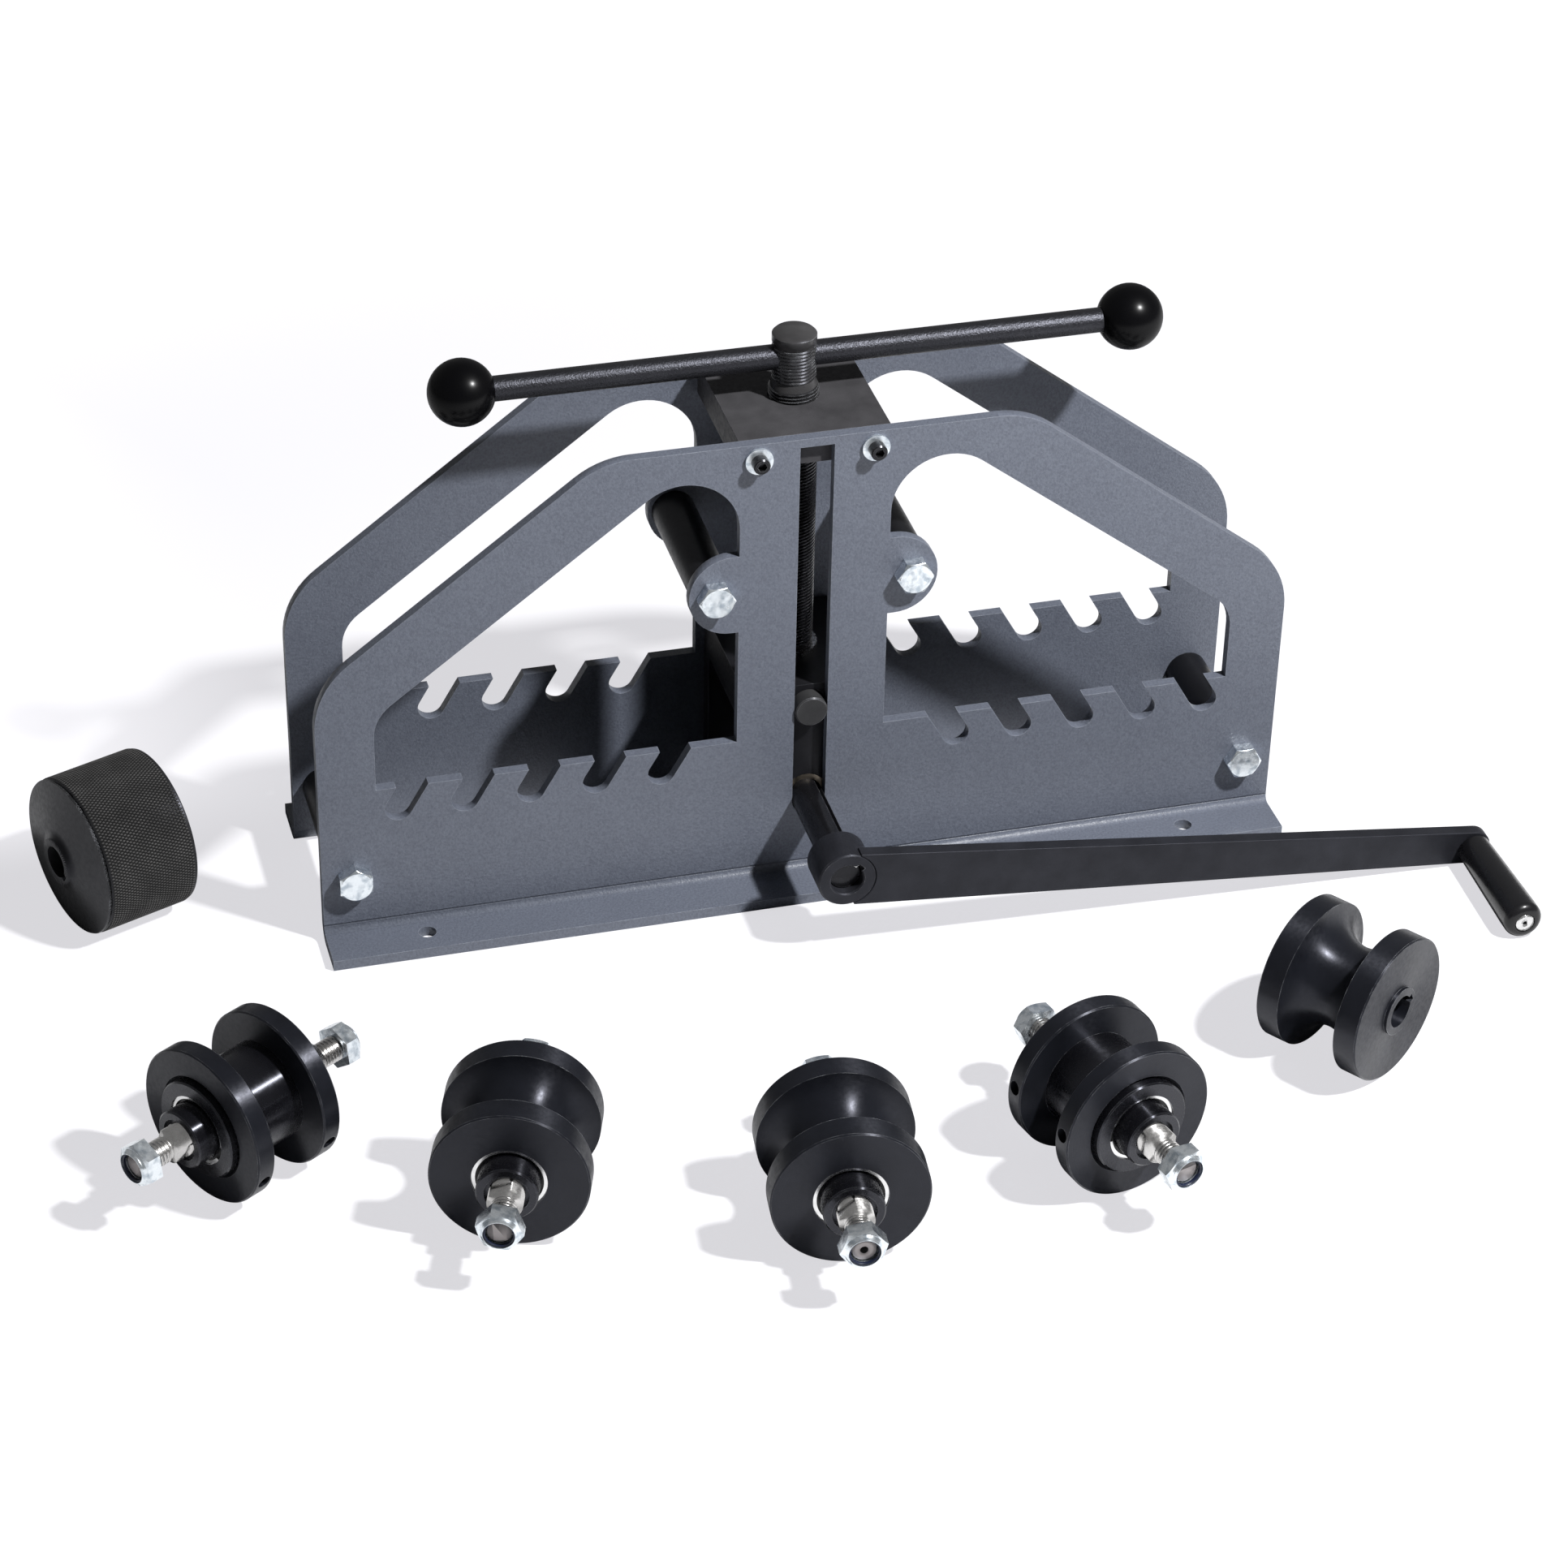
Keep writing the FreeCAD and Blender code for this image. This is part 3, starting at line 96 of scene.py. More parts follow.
class Graph:
    """A node tree with short helpers."""

    def __init__(self, tree):
        self.tree = tree

    def add(self, kind, **values):
        """New node; an underscore in a value's name stands for the space in a socket's name."""
        item = self.tree.nodes.new("ShaderNode" + kind)
        for key, value in values.items():
            socket = key.replace("_", " ")
            if socket in item.inputs:
                item.inputs[socket].default_value = value
            else:
                setattr(item, key, value)
        return item

    def link(self, source, target):
        self.tree.links.new(source, target)

    def place(self, matrix=None):
        """Object coordinates, optionally those along a turned piece's own axis."""
        coordinates = self.add("TexCoord").outputs["Object"]
        if matrix is None:
            return coordinates
        mapping = self.add("Mapping", vector_type="TEXTURE", Location=matrix.to_translation(),
                           Rotation=matrix.to_euler())
        self.link(coordinates, mapping.inputs["Vector"])
        return mapping.outputs["Vector"]

    def coordinate(self, axis, matrix=None):
        split = self.add("SeparateXYZ")
        self.link(self.place(matrix), split.inputs["Vector"])
        return split.outputs[axis]

    def length(self, vector):
        item = self.add("VectorMath", operation="LENGTH")
        self.link(vector, item.inputs[0])
        return item.outputs["Value"]

    def radius(self, matrix):
        """Distance from the matrix's +Z axis."""
        flat = self.add("VectorMath", operation="MULTIPLY")
        self.link(self.place(matrix), flat.inputs[0])
        flat.inputs[1].default_value = (1, 1, 0)
        return self.length(flat.outputs["Vector"])

    def noise(self, scale, detail):
        item = self.add("TexNoise", Scale=scale, Detail=detail)
        self.link(self.place(), item.inputs["Vector"])
        return item.outputs["Fac"]

    def rings(self, matrix, scale):
        """Lathe marks: noise along radius plus length, so it runs round faces and cylinders."""
        item = self.add("TexNoise", noise_dimensions="1D", Scale=scale, Detail=3.0)
        self.link(self.math("ADD", self.radius(matrix), self.coordinate("Z", matrix)),
                  item.inputs["W"])
        return item.outputs["Fac"]

    def math(self, operation, first, second=None):
        """Math node; numbers or sockets as its inputs."""
        item = self.add("Math", operation=operation)
        for socket, value in zip(item.inputs, (first, second)):
            if isinstance(value, (int, float)):
                socket.default_value = value
            elif value is not None:
                self.link(value, socket)
        return item.outputs["Value"]

    def step(self, source, low, high, at_low=0.0, at_high=1.0):
        """Smooth step from one value to another between low and high."""
        item = self.add("MapRange", interpolation_type="SMOOTHSTEP", From_Min=low, From_Max=high,
                        To_Min=at_low, To_Max=at_high)
        self.link(source, item.inputs["Value"])
        return item.outputs["Result"]

    def edges(self, radius):
        """One on sharp edges, nothing on faces, within about a radius of the edge."""
        bevel = self.add("Bevel", samples=4, Radius=radius)
        flat = self.add("NewGeometry").outputs["Normal"]
        agreement = self.add("VectorMath", operation="DOT_PRODUCT")
        self.link(bevel.outputs["Normal"], agreement.inputs[0])
        self.link(flat, agreement.inputs[1])
        return self.step(agreement.outputs["Value"], 0.80, 0.985, 1.0, 0.0)

    def mix(self, share, first, second):
        """Colour between first and second."""
        item = self.add("Mix", data_type="RGBA")
        self.link(share, item.inputs["Factor"])
        colours = [socket for socket in item.inputs if socket.type == "RGBA"]
        for socket, value in zip(colours, (first, second)):
            if isinstance(value, tuple):
                socket.default_value = (*value, 1.0)
            else:
                self.link(value, socket)
        return next(socket for socket in item.outputs if socket.type == "RGBA")

    def clouds(self, scale, detail, low, high):
        """Noise spread between two stops; each stop is (position, colour or value)."""
        noise = self.noise(scale, detail)
        item = self.add("ValToRGB")
        for element, (position, colour) in zip(item.color_ramp.elements, (low, high)):
            element.position = position
            if not isinstance(colour, tuple):
                colour = (colour,) * 3
            element.color = (*colour, 1.0)
        self.link(noise, item.inputs["Fac"])
        return item.outputs["Color"]


class Shader(Graph):
    """A procedural material."""

    def __init__(self, name, **values):
        self.material = bpy.data.materials.new(name)
        self.material.use_nodes = True
        super().__init__(self.material.node_tree)
        self.surface = self.tree.nodes["Principled BSDF"]
        self.bumps = None
        self.set(**values)

    def set(self, **values):
        for key, value in values.items():
            self.surface.inputs[key.replace("_", " ")].default_value = value

    def drive(self, socket, source):
        self.link(source, self.surface.inputs[socket])

    def bump(self, height, distance, strength, invert=False):
        """Lay one more layer of relief over those already there."""
        item = self.add("Bump", Distance=distance, Strength=strength, invert=invert)
        self.link(height, item.inputs["Height"])
        if self.bumps:
            self.link(self.bumps, item.inputs["Normal"])
        self.bumps = item.outputs["Normal"]
        self.drive("Normal", self.bumps)

    def turned_sheen(self, matrix, amount):
        """Draw highlights out across lathe marks that run round the matrix's +Z."""
        from_centre = self.add("VectorMath", operation="SUBTRACT")
        self.link(self.place(), from_centre.inputs[0])
        from_centre.inputs[1].default_value = matrix.to_translation()
        around = self.add("VectorMath", operation="CROSS_PRODUCT")
        around.inputs[0].default_value = matrix.to_3x3() @ Vector((0, 0, 1))
        self.link(from_centre.outputs["Vector"], around.inputs[1])
        world = self.add("VectorTransform", vector_type="VECTOR", convert_from="OBJECT",
                         convert_to="WORLD")
        self.link(around.outputs["Vector"], world.inputs["Vector"])
        self.drive("Tangent", world.outputs["Vector"])
        self.set(Anisotropic=amount, Anisotropic_Rotation=0.25)


# ---------------------------------------------------------------- materials


def scaled(colour, factor):
    """Colour with each channel times a factor."""
    return tuple(channel * factor for channel in colour)


def powder_paint():
    """Blue-grey powder coat: fine leathery grain, a dark line along the top of the bend, and edges
    painted pale for wear and as painted highlight.
    """
    shader = Shader("powder_paint", IOR=1.45, Specular_IOR_Level=0.5)
    mottle = shader.clouds(28, 4, (0.35, (0.102, 0.113, 0.145)), (0.7, (0.117, 0.130, 0.165)))
    speck = shader.clouds(760, 2, (0.32, (0.082, 0.091, 0.118)), (0.62, (0.130, 0.145, 0.181)))
    grained = shader.mix(shader.step(shader.noise(90, 2), 0.2, 0.8, 0.45, 0.65), mottle, speck)
    # A line along the top of the bend on the plates' outer faces: painted darker and sunk as a
    # groove in the relief.
    bend_top_height = PLATE_THICKNESS + BEND_RADIUS
    from_line = shader.math("ABSOLUTE", shader.math("SUBTRACT", shader.coordinate("Z"), bend_top_height))
    from_middle = shader.math("ABSOLUTE", shader.coordinate("Y"))
    outside = shader.math("GREATER_THAN", from_middle, PLATE_OUTSIDE)
    line = shader.math("MULTIPLY", shader.step(from_line, 0.2 * MM, 0.7 * MM, 1.0, 0.0), outside)
    lined = shader.mix(shader.math("MULTIPLY", line, 0.5), grained, (0.05, 0.056, 0.072))
    # Edges painted pale: partly rubbed paint, partly painted highlight along the edges' rounding.
    rubbing = shader.step(shader.noise(120, 3), 0.35, 0.6, 0.25, 0.9)
    edge_wear_and_highlight = shader.math("MULTIPLY", shader.edges(0.7 * MM), rubbing)
    shader.drive("Base Color", shader.mix(edge_wear_and_highlight, lined, (0.27, 0.29, 0.33)))
    shader.drive("Roughness", shader.clouds(260, 3, (0.3, 0.36), (0.7, 0.50)))
    shader.bump(shader.noise(700, 2.5), 0.42 * MM, 0.62)
    shader.bump(shader.noise(1700, 2), 0.10 * MM, 0.5)
    shader.bump(line, 0.4 * MM, 0.8, invert=True)
    return shader.material


def black_steel(name, colour, rough, marks=None, grain=0.04, edge_wear_and_highlight=0.5, shine=0.20, film=0.0,
                film_rough=0.2, sheen=0.0):
    """Oil-black steel.

    marks is the matrix of a turned piece's axis, grain the depth of its skin in millimetres,
    edge_wear_and_highlight how bright its edges are painted, for wear and as painted highlight,
    shine its specular level, film the share of an oily skin over it, and sheen how far lathe marks
    draw its highlights out.
    """
    shader = Shader(name, IOR=1.5, Specular_IOR_Level=shine, Specular_Tint=(0.84, 0.86, 1.0, 1),
                    Coat_Weight=film, Coat_Roughness=film_rough, Coat_IOR=1.4)
    base = shader.clouds(60, 5, (0.3, scaled(colour, 0.75)), (0.75, scaled(colour, 1.3)))
    # Edges painted paler: partly rubbed steel, partly painted highlight along them.
    rubbing = shader.step(shader.noise(150, 3), 0.4, 0.65, 0.1, edge_wear_and_highlight)
    wear_and_painted_light = shader.math("MULTIPLY", shader.edges(0.5 * MM), rubbing)
    shader.drive("Base Color", shader.mix(wear_and_painted_light, base, (0.30, 0.31, 0.33)))
    shader.drive("Roughness", shader.clouds(420, 4, (0.3, rough * 0.85), (0.75, rough * 1.2)))
    if marks:
        shader.bump(shader.rings(marks, 1300), 0.04 * MM, 0.5)
    if sheen:
        shader.turned_sheen(marks, sheen)
    shader.bump(shader.noise(900, 3), grain * MM, 0.5)
    return shader.material


def knurled_steel(name, matrix, root, crest):
    """Oil-black steel with painted shade down in the grooves, and the points paler where rubbed."""
    shader = Shader(name, IOR=1.5, Specular_IOR_Level=0.25)
    depth = shader.step(shader.radius(matrix), root, crest)
    # Colour darkens towards the grooves' bottoms as painted shade; the points are rubbed paler.
    wear_and_painted_light = shader.math("MULTIPLY", depth, shader.step(shader.noise(70, 4), 0.3, 0.7, 0.6, 1.0))
    shader.drive("Base Color", shader.mix(wear_and_painted_light, (0.0008, 0.0008, 0.0010), (0.115, 0.113, 0.112)))
    shader.drive("Roughness", shader.step(depth, 0.0, 1.0, 0.75, 0.34))
    return shader.material


def bright_steel(name, colour, rough, marks=None, tip=None):
    """Ground steel with faint streaks; further than tip along its axis it is a matt sawn end."""
    shader = Shader(name, Metallic=1.0)
    base = shader.clouds(180, 4, (0.3, scaled(colour, 0.84)), (0.7, colour))
    dull = shader.clouds(500, 3, (0.3, rough * 0.75), (0.75, rough * 1.35))
    if marks:
        shader.bump(shader.rings(marks, 1600), 0.03 * MM, 0.5)
    if tip:
        from_middle = shader.math("ABSOLUTE", shader.coordinate("Z", marks))
        end = shader.math("GREATER_THAN", from_middle, tip)
        base = shader.mix(end, base, (0.42, 0.39, 0.39))
        dull = shader.math("MAXIMUM", dull, shader.math("MULTIPLY", end, 0.62))
        shader.drive("Metallic", shader.math("SUBTRACT", 1.0, shader.math("MULTIPLY", end, 0.5)))
    shader.drive("Base Color", base)
    shader.drive("Roughness", dull)
    shader.bump(shader.noise(700, 3), 0.03 * MM, 0.4)
    return shader.material


def white_zinc(name, rough):
    """Bright zinc plate: a pale bluish skin, cloudy and a little pitted."""
    shader = Shader(name, Metallic=0.93)
    cloudy = shader.clouds(230, 4, (0.34, (0.46, 0.52, 0.58)), (0.56, (0.84, 0.89, 0.93)))
    shader.drive("Base Color", cloudy)
    shader.drive("Roughness", shader.clouds(300, 2, (0.3, rough * 0.75), (0.75, rough * 1.3)))
    shader.bump(shader.noise(420, 2), 0.06 * MM, 0.5)
    shader.bump(shader.noise(110, 2), 0.25 * MM, 0.6)
    return shader.material


def gloss_plastic(name, colour, rough, shine=0.25, film=0.35, film_rough=0.2):
    """Moulded plastic with a soft bloom under a clearer skin."""
    shader = Shader(name, IOR=1.5, Specular_IOR_Level=shine, Coat_Weight=film,
                    Coat_Roughness=film_rough, Coat_IOR=1.4)
    shader.drive("Base Color", shader.clouds(40, 3, (0.3, colour), (0.8, scaled(colour, 1.3))))
    shader.drive("Roughness", shader.clouds(150, 3, (0.3, rough * 0.8), (0.8, rough * 1.3)))
    shader.bump(shader.noise(300, 2), 0.02 * MM, 0.25)
    return shader.material


PAINT = powder_paint()
SATIN = black_steel("black_oxide", (0.009, 0.009, 0.0105), 0.40, film=0.12)
BLOCK = black_steel("black_oxide_block", (0.046, 0.045, 0.048), 0.55, grain=0.12, edge_wear_and_highlight=0.8)
ARM = black_steel("black_arm", (0.0145, 0.0150, 0.0185), 0.46, grain=0.07, edge_wear_and_highlight=1.0)
SHAFT = black_steel("black_shaft", (0.006, 0.006, 0.007), 0.30, SHAFT_MATRIX, film=0.25,
                    film_rough=0.13)
STUD = black_steel("black_stud", (0.034, 0.034, 0.035), 0.42, grain=0.10, edge_wear_and_highlight=1.0, film=0.15)
BAR = black_steel("black_bar", (0.007, 0.007, 0.008), 0.42, BAR_MATRIX, grain=0.6, shine=0.5,
                  sheen=0.3)
SCREW = black_steel("black_screw", (0.038, 0.037, 0.038), 0.34, grain=0.12, edge_wear_and_highlight=1.0, film=0.35)
THREAD = black_steel("black_thread", (0.010, 0.0098, 0.010), 0.26, grain=0.06, edge_wear_and_highlight=1.0,
                     shine=0.5, film=0.5)
TUBE = black_steel("black_tube", (0.006, 0.006, 0.007), 0.36)
CAP = black_steel("black_cap_screw", (0.008, 0.008, 0.009), 0.30, film=0.25)
ZINC = white_zinc("bright_zinc", 0.22)
WASHER = white_zinc("washer_zinc", 0.42)
SPRING = bright_steel("spring_steel", (0.80, 0.80, 0.80), 0.22)
BRIGHT = bright_steel("bright_steel", (0.68, 0.68, 0.68), 0.24)
BRONZE = bright_steel("bronze", (0.36, 0.31, 0.25), 0.38, SHAFT_MATRIX)
BALL = gloss_plastic("ball_plastic", (0.0010, 0.0010, 0.0014), 0.45, 0.02, 0.30, 0.24)
GRIP = gloss_plastic("grip_plastic", (0.006, 0.006, 0.007), 0.30, 0.2, 0.3, 0.15)
SEAL = gloss_plastic("seal_rubber", (0.008, 0.008, 0.009), 0.5)
NYLON = gloss_plastic("nylon_insert", (0.006, 0.010, 0.028), 0.35)


# ---------------------------------------------------------------- meshes


def new_piece(name, body, material):
    """Empty mesh object that rides on a body."""
    item = bpy.data.objects.new(name, bpy.data.meshes.new(name))
    bpy.context.scene.collection.objects.link(item)
    item.data.materials.append(material)
    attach(item, body)
    return item


def soften_shading(mesh, limit):
    """Smooth shading, kept sharp at edges steeper than limit in degrees."""
    mesh.shade_smooth()
    mesh.set_sharp_from_angle(angle=math.radians(limit))


def polar(matrix, radius, angle, height):
    """Point at a radius and an angle about the matrix's +Z."""
    return matrix @ Vector((radius * math.cos(angle), radius * math.sin(angle), height))


def joined_rings(here, there, count):
    """Faces between two closed rings of count vertices."""
    pairs = [(j, (j + 1) % count) for j in range(count)]
    return [(here + j, here + k, there + k, there + j) for j, k in pairs]


def fill(item, vertices, faces, limit):
    """Put vertices and faces in a piece, with normals outward."""
    item.data.from_pydata(vertices, [], faces)
    work = bmesh.new()
    work.from_mesh(item.data)
    bmesh.ops.recalc_face_normals(work, faces=work.faces)
    work.to_mesh(item.data)
    work.free()
    soften_shading(item.data, limit)


def lathe(item, profile, matrix, segments):
    """Closed (radius, height) profile turned about the matrix's +Z."""
    count = len(profile)
    vertices, faces = [], []
    for i in range(segments):
        angle = 2 * math.pi * i / segments
        vertices += [polar(matrix, radius, angle, height) for radius, height in profile]
        faces += joined_rings(i * count, (i + 1) % segments * count, count)
    fill(item, vertices, faces, SHARP_EDGE)


def thread(item, matrix, low, high, crest, root, steps):
    """Ridge of a right-hand thread from height low to high about the matrix's +Z."""
    count = int((high - low) / THREAD_PITCH * steps)
    foot = THREAD_PITCH * 0.44
    flat = THREAD_PITCH * 0.09
    run_out = steps * 0.6
    inside = root - (crest - root) * 0.2
    vertices, faces = [], []
    for i in range(count + 1):
        rise = min(1.0, i / run_out, (count - i) / run_out)
        top = root + (crest - root) * max(rise, 0.02)
        height = low + THREAD_PITCH * i / steps
        for radius, offset in ((inside, -foot), (top, -flat), (top, flat), (inside, foot)):
            vertices.append(polar(matrix, radius, 2 * math.pi * i / steps, height + offset))
    for i in range(count):
        faces += joined_rings(4 * i, 4 * i + 4, 4)
    faces.append((0, 1, 2, 3))
    faces.append((4 * count + 3, 4 * count + 2, 4 * count + 1, 4 * count))
    fill(item, vertices, faces, limit=25.0)


def knurl(item, matrix, low, high, crest, root, around, rows):
    """Band of raised diamonds: grooves cross at the corners and each diamond rises to a point."""
    width = 2 * around
    vertices, faces = [], []
    for row in range(rows + 1):
        height = low + (high - low) * row / rows
        edge = row in (0, rows)
        for half_step in range(width):
            raised = (half_step + row) % 2 == 1 and not edge
            angle = math.pi * half_step / around
            vertices.append(polar(matrix, crest if raised else root, angle, height))
    for row in range(rows):
        for half_step in range(width):
            here, right = row * width + half_step, row * width + (half_step + 1) % width
            above, beyond = here + width, right + width
            if (half_step + row) % 2 == 0:
                faces += [(here, right, beyond), (here, beyond, above)]
            else:
                faces += [(here, right, above), (right, beyond, above)]
    item.data.from_pydata(vertices, [], faces)
    item.data.shade_flat()


def copied(name, node, body, material, matrix, cuts=(), change=None):
    """Piece made from a CAD node's mesh, cut across at heights and reshaped in its own axes."""
    work = bmesh.new()
    work.from_mesh(NODES[node].data)
    bmesh.ops.remove_doubles(work, verts=work.verts, dist=0.001 * MM)
    normal = matrix.to_3x3() @ Vector((0, 0, 1))
    for height in cuts:
        geometry = work.verts[:] + work.edges[:] + work.faces[:]
        bmesh.ops.bisect_plane(work, geom=geometry, plane_co=matrix @ Vector((0, 0, height)),
                               plane_no=normal)
    if change:
        inverse = matrix.inverted()
        for vertex in work.verts:
            vertex.co = matrix @ change(inverse @ vertex.co)
    item = new_piece(name, body, material)
    bmesh.ops.recalc_face_normals(work, faces=work.faces)
    work.to_mesh(item.data)
    work.free()
    soften_shading(item.data, SHARP_EDGE)
    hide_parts(node)
    return item


def narrowed(bands):
    """Change that takes a piece down to a thread's root.

    Each band is (low, high, outside, root): vertices between the heights low and high whose radius
    is near outside go to the radius root.
    """
    def change(point):
        for low, high, outside, root in bands:
            radius = math.hypot(point.x, point.y)
            if low < point.z < high and abs(radius - outside) < 0.3 * MM:
                point = Vector((point.x * root / radius, point.y * root / radius, point.z))
        return point
    return change


def centre_drill(item, matrix, at, radius, depth):
    """Sink a drilled centre into the flat end of a piece at a height along the matrix's +Z."""
    work = bmesh.new()
    work.from_mesh(item.data)
    inverse = matrix.inverted()
    ends = [face for face in work.faces
            if all(abs((inverse @ vertex.co).z - at) < 0.01 * MM for vertex in face.verts)]
    whole = bmesh.ops.dissolve_faces(work, faces=ends)["region"]
    reach = max((inverse @ vertex.co).xy.length for vertex in whole[0].verts)
    bmesh.ops.inset_region(work, faces=whole, thickness=reach - radius)
    wall = bmesh.ops.inset_region(work, faces=whole, thickness=radius * 0.05, depth=-depth)
    # The hole's walls and floor take the black seal material: painted shade inside the drilled
    # centre.
    item.data.materials.append(SEAL)
    for face in whole + wall["faces"]:
        face.material_index = 1
    work.to_mesh(item.data)
    work.free()


# ---------------------------------------------------------------- CAD nodes


def finish_node(node, material, soften=0.0):
    """Give a CAD node its material, and round its sharp edges by a radius in millimetres."""
    item = NODES[node]
    for slot in item.material_slots:
        slot.material = material
    if soften:
        weld = item.modifiers.new("weld", "WELD")
        weld.merge_threshold = 0.001 * MM
        flat = item.modifiers.new("flat", "DECIMATE")
        flat.decimate_type = "DISSOLVE"
        flat.angle_limit = math.radians(0.4)
        bevel = item.modifiers.new("soften", "BEVEL")
        bevel.width = soften * MM
        bevel.segments = 2
        bevel.limit_method = "ANGLE"
        bevel.angle_limit = math.radians(35)
        bevel.harden_normals = True


# Material of each node of the frame, screw and drive, and the radius in millimetres that softens
# its sharp edges.
FINISHES = {
    "front_side_plate": (PAINT, 0.6),
    "rear_side_plate": (PAINT, 0.6),
    "screw_nut_block": (BLOCK, 0.5),
    "plate_spacers": (TUBE,),
    "spacer_bolts": (ZINC, 0.3),
    "spacer_nuts": (ZINC, 0.3),
    "block_cap_screws": (CAP,),
    "block_washers": (WASHER,),
    "slide_yoke": (SATIN, 0.6),
    "guide_studs": (STUD,),
    "shaft_bushes": (BRONZE,),
    "thrust_washer": (BRIGHT,),
    "screw_retaining_ring": (SPRING,),
    "tommy_bar": (BAR,),
    "bar_balls": (BALL,),
    "drive_shaft": (SHAFT,),
    "shaft_retaining_rings": (SPRING,),
    "crank_hub": (ARM, 0.4),
    "crank_key": (BRIGHT,),
    "hub_set_screw": (SATIN,),
    "crank_arm": (ARM, 0.5),
    "grip_spindle": (BRIGHT,),
    "crank_grip": (GRIP,),
}


def turned_black(roll):
    """Dull turned black of the rolls and discs."""
    return black_steel(roll + "_turned", (0.0062, 0.0068, 0.0094), 0.37, roll_matrix(roll),
                       edge_wear_and_highlight=0.9, shine=0.33, sheen=0.8)


def finish_idler(roll):
    """Give every node of an idler its material."""
    axis = roll_matrix(roll)
    gloss = black_steel(roll + "_gloss", (0.003, 0.003, 0.004), 0.26, axis, grain=0.01, shine=0.5,
                        sheen=0.9)
    turned = turned_black(roll)
    if roll + "_roll" in NODES:
        finish_node(roll + "_roll", turned)
    if roll + "_discs" in NODES:
        finish_node(roll + "_sleeve", gloss)
        finish_node(roll + "_discs", turned)
        finish_node(roll + "_disc_set_screws", SATIN)
    finish_node(roll + "_bearing_outer_rings", SEAL)
    finish_node(roll + "_bearing_inner_rings", BRIGHT)
    finish_node(roll + "_snap_rings", SPRING)
    bright = bright_steel(roll + "_bright", (0.62, 0.61, 0.60), 0.27, axis, AXLE_TIP - 0.3 * MM)
    finish_node(roll + "_axle", bright)
    finish_node(roll + "_axle_collars", gloss)
    finish_node(roll + "_lock_nuts", ZINC)


for node, finish in FINISHES.items():
    finish_node(node, *finish)
for idler in IDLERS:
    finish_idler(idler)
finish_node("grooved_drive_roll", turned_black("grooved_drive_roll"))


# ---------------------------------------------------------------- feed screw and grip spindle


def feed_screw():
    """Screw with real threads on its stem and, finer in depth, on its head."""
    stem = 14.3 * MM
    stem_root = 13.2 * MM
    head = 12.7 * MM
    head_root = 12.2 * MM
    bands = ((130.0 * MM, 302.0 * MM, stem, stem_root), (302.5 * MM, 326.9 * MM, head, head_root))
    # Between the two cuts the head widens again, from the thread's root to its full width.
    copied("feed_screw_core", "feed_screw", "screw", SCREW, UPRIGHT,
           cuts=(326.6 * MM, 327.0 * MM), change=narrowed(bands))
    threads = {
        "feed_screw_thread": (132.4 * MM, 300.4 * MM, stem, stem_root),
        "feed_screw_head_thread": (303.6 * MM, 326.0 * MM, head - 0.05 * MM, head_root),
    }
    for name, (low, high, crest, root) in threads.items():
        item = new_piece(name, "screw", THREAD)
        thread(item, UPRIGHT, low, high, crest, root, steps=56)


def grip_spindle():
    """Spindle with the drilled centre that shows in its end."""
    item = copied("grip_spindle_core", "grip_spindle", "drive", BRIGHT,
                  GRIP_MATRIX)
    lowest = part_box("grip_spindle")[0]
    centre_drill(item, GRIP_MATRIX, -lowest[1], 1.3 * MM, 2.5 * MM)


# ---------------------------------------------------------------- loose rolls


def knurled_roll():
    """Drive roll with a band of raised diamonds round it."""
    name = "knurled_drive_roll"
    body = "loose_knurled_roll"
    matrix = roll_matrix(name)
    low = -28.4 * MM
    high = 26.0 * MM
    margin = 0.2 * MM
    crest = 46.8 * MM
    root = 46.25 * MM
    satin = black_steel("knurled_roll_satin", (0.016, 0.016, 0.0165), 0.42, matrix, edge_wear_and_highlight=0.9,
                        shine=0.33, sheen=0.25)
    wear_and_painted_light = knurled_steel("black_knurl", matrix, root + 0.05 * MM, crest - 0.02 * MM)
    finish_node(name, satin)
    copied("knurled_roll_core", name, body, satin, matrix,
           change=narrowed([(low, high, crest, root)]))
    band = new_piece("knurled_roll_diamonds", body, wear_and_painted_light)
    knurl(band, matrix, low + margin, high - margin, crest, root - 0.02 * MM, around=147, rows=31)


def idler_axle(name):
    """Axle with real threads at both ends, and the nylon inserts of its lock nuts."""
    matrix = roll_matrix(name)
    body = name + "_axle"
    material = NODES[body].material_slots[0].material
    crest = 7.14 * MM
    root = 6.25 * MM
    low = 51.4 * MM
    high = 72.6 * MM
    ends = narrowed([(low, high, crest, root), (-high, -low, crest, root)])
    core = copied(name + "_axle_core", name + "_axle", body, material, matrix,
                  change=ends)
    if name == "right_grooved_idler":
        centre_drill(core, matrix, AXLE_TIP, 2.2 * MM, 7.0 * MM)
    middle = 62.1 * MM
    reach = 9.5 * MM
    for end, side in (("near", 1), ("far", -1)):
        item = new_piece(f"{name}_thread_{end}", body, material)
        thread(item, matrix, side * middle - reach, side * middle + reach, crest, root, steps=40)
    insert = [(7.16, 74.1), (8.36, 74.1), (8.36, 75.3), (8.0, 75.6), (7.5, 75.6), (7.16, 75.2)]
    for end, side in (("near", 1), ("far", -1)):
        item = new_piece(f"{name}_insert_{end}", body, NYLON)
        profile = [(radius * MM, side * height * MM) for radius, height in insert]
        lathe(item, profile, matrix, segments=64)


feed_screw()
knurled_roll()
grip_spindle()
for idler in IDLERS:
    idler_axle(idler)


# ---------------------------------------------------------------- floor, light and camera


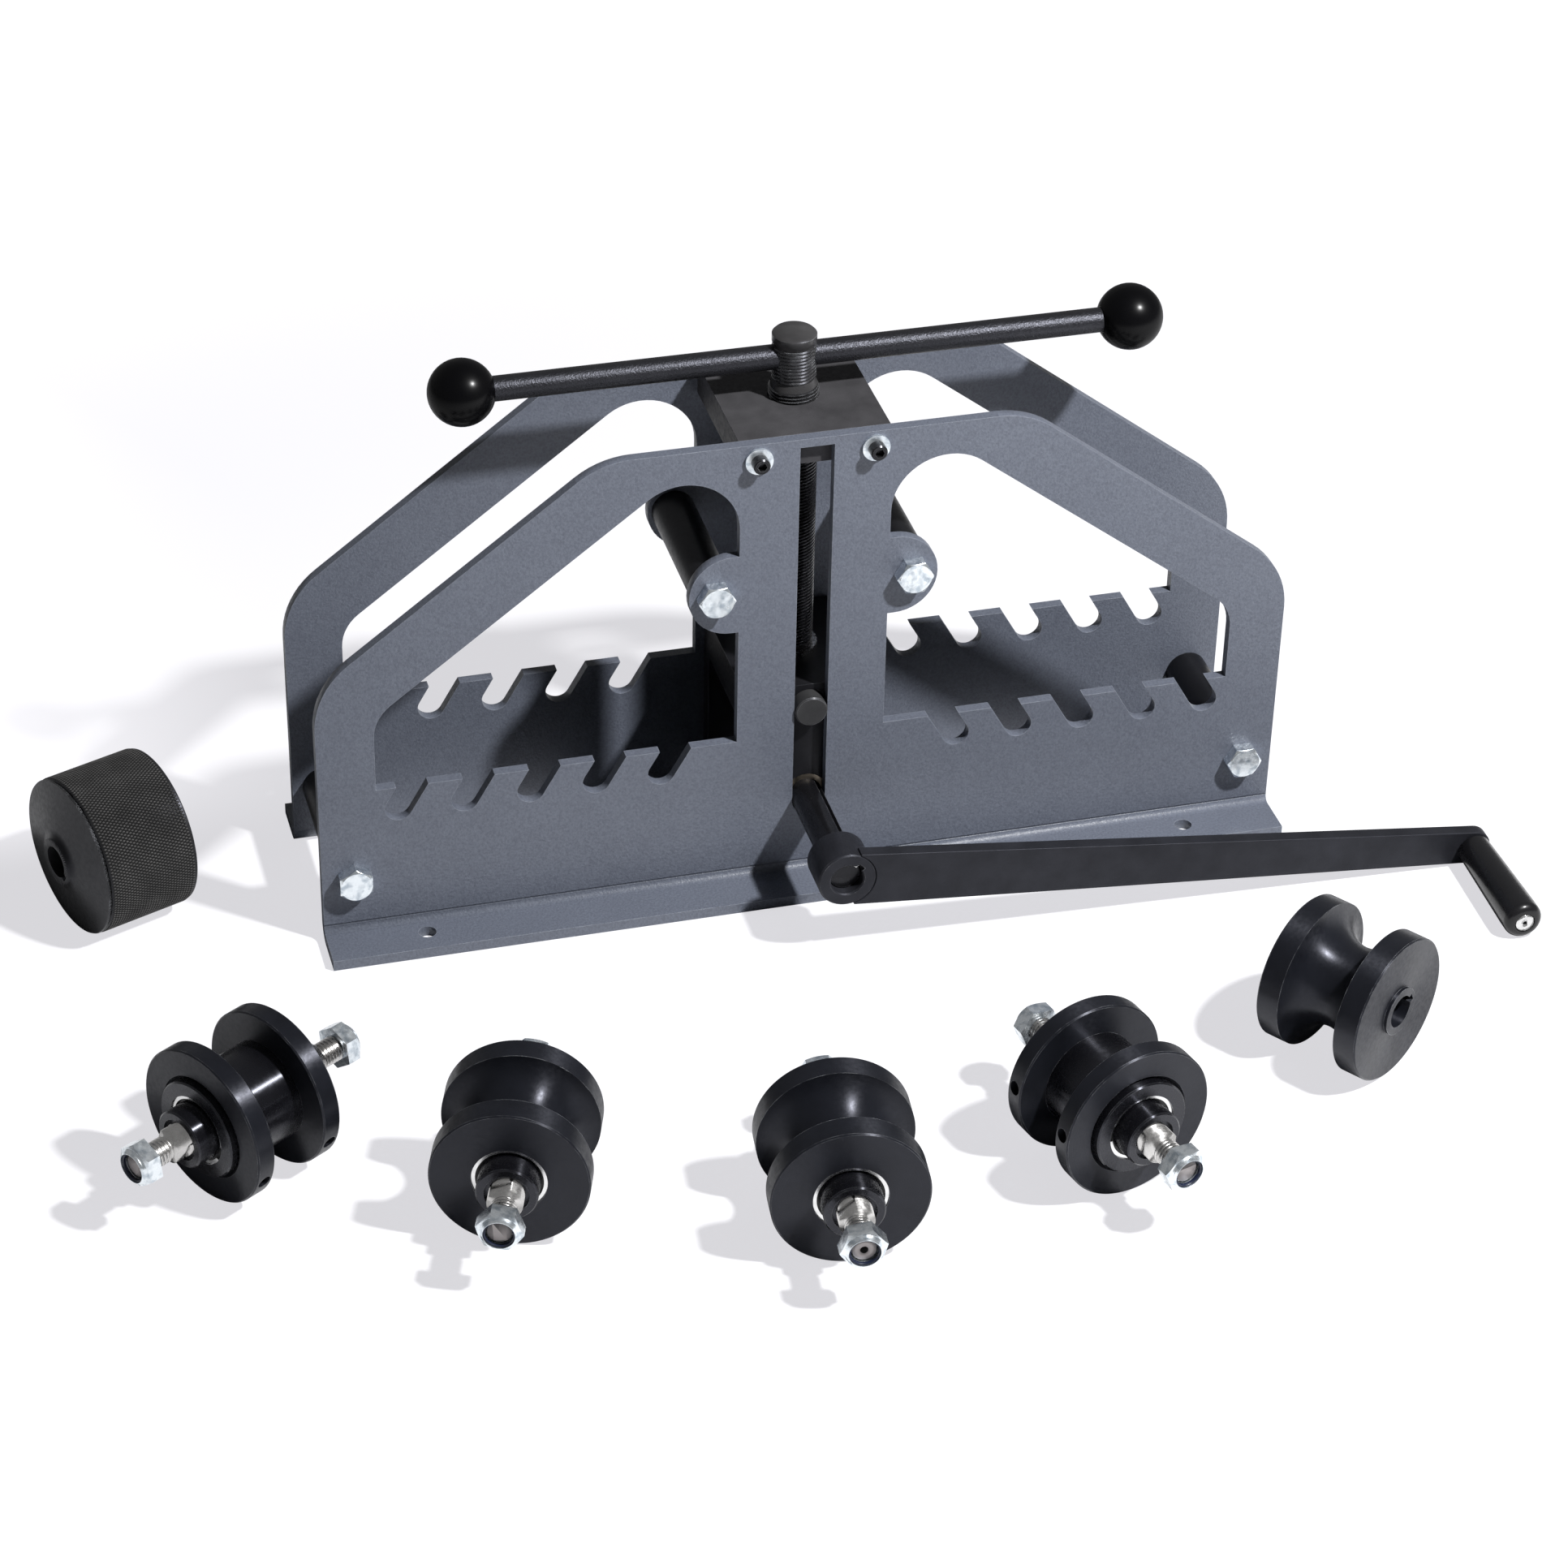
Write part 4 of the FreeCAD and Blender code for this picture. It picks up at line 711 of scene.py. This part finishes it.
def floor():
    """Plain pale floor that shows near white to the camera and keeps the object's shadow."""
    item = bpy.data.objects.new("floor", bpy.data.meshes.new("floor"))
    bpy.context.scene.collection.objects.link(item)
    reach = 12.0
    corners = ((-reach, -reach), (reach, -reach), (reach, reach), (-reach, reach))
    item.data.from_pydata([(x, y, -0.2 * MM) for x, y in corners], [], [(0, 1, 2, 3)])
    shader = Shader("floor_paper", Base_Color=(0.84, 0.84, 0.85, 1), Roughness=0.9,
                    Specular_IOR_Level=0.1)
    glow = shader.add("Emission", Color=(1.0, 0.992, 1.035, 1), Strength=1.13)
    # The camera sees a share of the glow, painted light that pales the floor and the object's
    # shadow on it:
    # least beneath the object, all of it far from the object, and some more at the back on the
    # object's left.
    least = 0.60
    more = 0.30
    away = shader.step(shader.length(shader.place()), 0.45, 1.15, least, 1.0)
    left = shader.step(shader.coordinate("X"), -0.50, -0.22, more, 0.0)
    behind = shader.step(shader.coordinate("Y"), 0.05, 0.16)
    back_left = shader.math("ADD", shader.math("MULTIPLY", left, behind), least)
    seen = shader.add("LightPath").outputs["Is Camera Ray"]
    share = shader.math("MULTIPLY", seen, shader.math("MAXIMUM", away, back_left))
    mix = shader.add("MixShader")
    shader.link(share, mix.inputs["Fac"])
    shader.link(shader.surface.outputs["BSDF"], mix.inputs[1])
    shader.link(glow.outputs["Emission"], mix.inputs[2])
    shader.link(mix.outputs["Shader"], shader.tree.nodes["Material Output"].inputs["Surface"])
    item.data.materials.append(shader.material)


def room():
    """Dim white room: white where the camera looks past the floor, faint in reflections."""
    world = bpy.data.worlds.new("room")
    bpy.context.scene.world = world
    world.use_nodes = True
    graph = Graph(world.node_tree)
    path = graph.add("LightPath").outputs
    seen = graph.math("MAXIMUM", path["Is Camera Ray"], path["Is Transmission Ray"])
    shine = graph.math("MULTIPLY", path["Is Glossy Ray"], 0.22)
    strength = graph.add("MapRange", To_Min=0.025, To_Max=1.0)
    graph.link(graph.math("MAXIMUM", seen, shine), strength.inputs["Value"])
    background = graph.tree.nodes["Background"]
    background.inputs["Color"].default_value = (1, 1, 1, 1)
    graph.link(strength.outputs["Result"], background.inputs["Strength"])


def key_lamp():
    """One soft lamp, as near as the photograph's shadows say."""
    data = bpy.data.lights.new("key", "POINT")
    data.energy = 372.0
    data.shadow_soft_size = 0.065
    item = bpy.data.objects.new("key", data)
    bpy.context.scene.collection.objects.link(item)
    item.location = (0.98, -1.10, 1.95)


def camera():
    """The photograph's own viewpoint: 36 mm sensor, long lens."""
    data = bpy.data.cameras.new("camera")
    item = bpy.data.objects.new("camera", data)
    bpy.context.scene.collection.objects.link(item)
    data.sensor_width = 36.0
    data.lens = 100.13
    data.clip_start = 0.05
    data.clip_end = 60.0
    forward = Vector((0.22554, 0.79428, -0.56414)).normalized()
    right = Vector((0.96524, -0.26069, 0.01885)).normalized()
    up = right.cross(forward).normalized()
    turn = Matrix((right, up, -forward)).transposed().to_4x4()
    item.matrix_world = Matrix.Translation((-0.5830, -2.0526, 1.4867)) @ turn
    bpy.context.scene.camera = item


floor()
room()
key_lamp()
camera()
bpy.context.scene.view_settings.view_transform = "Standard"
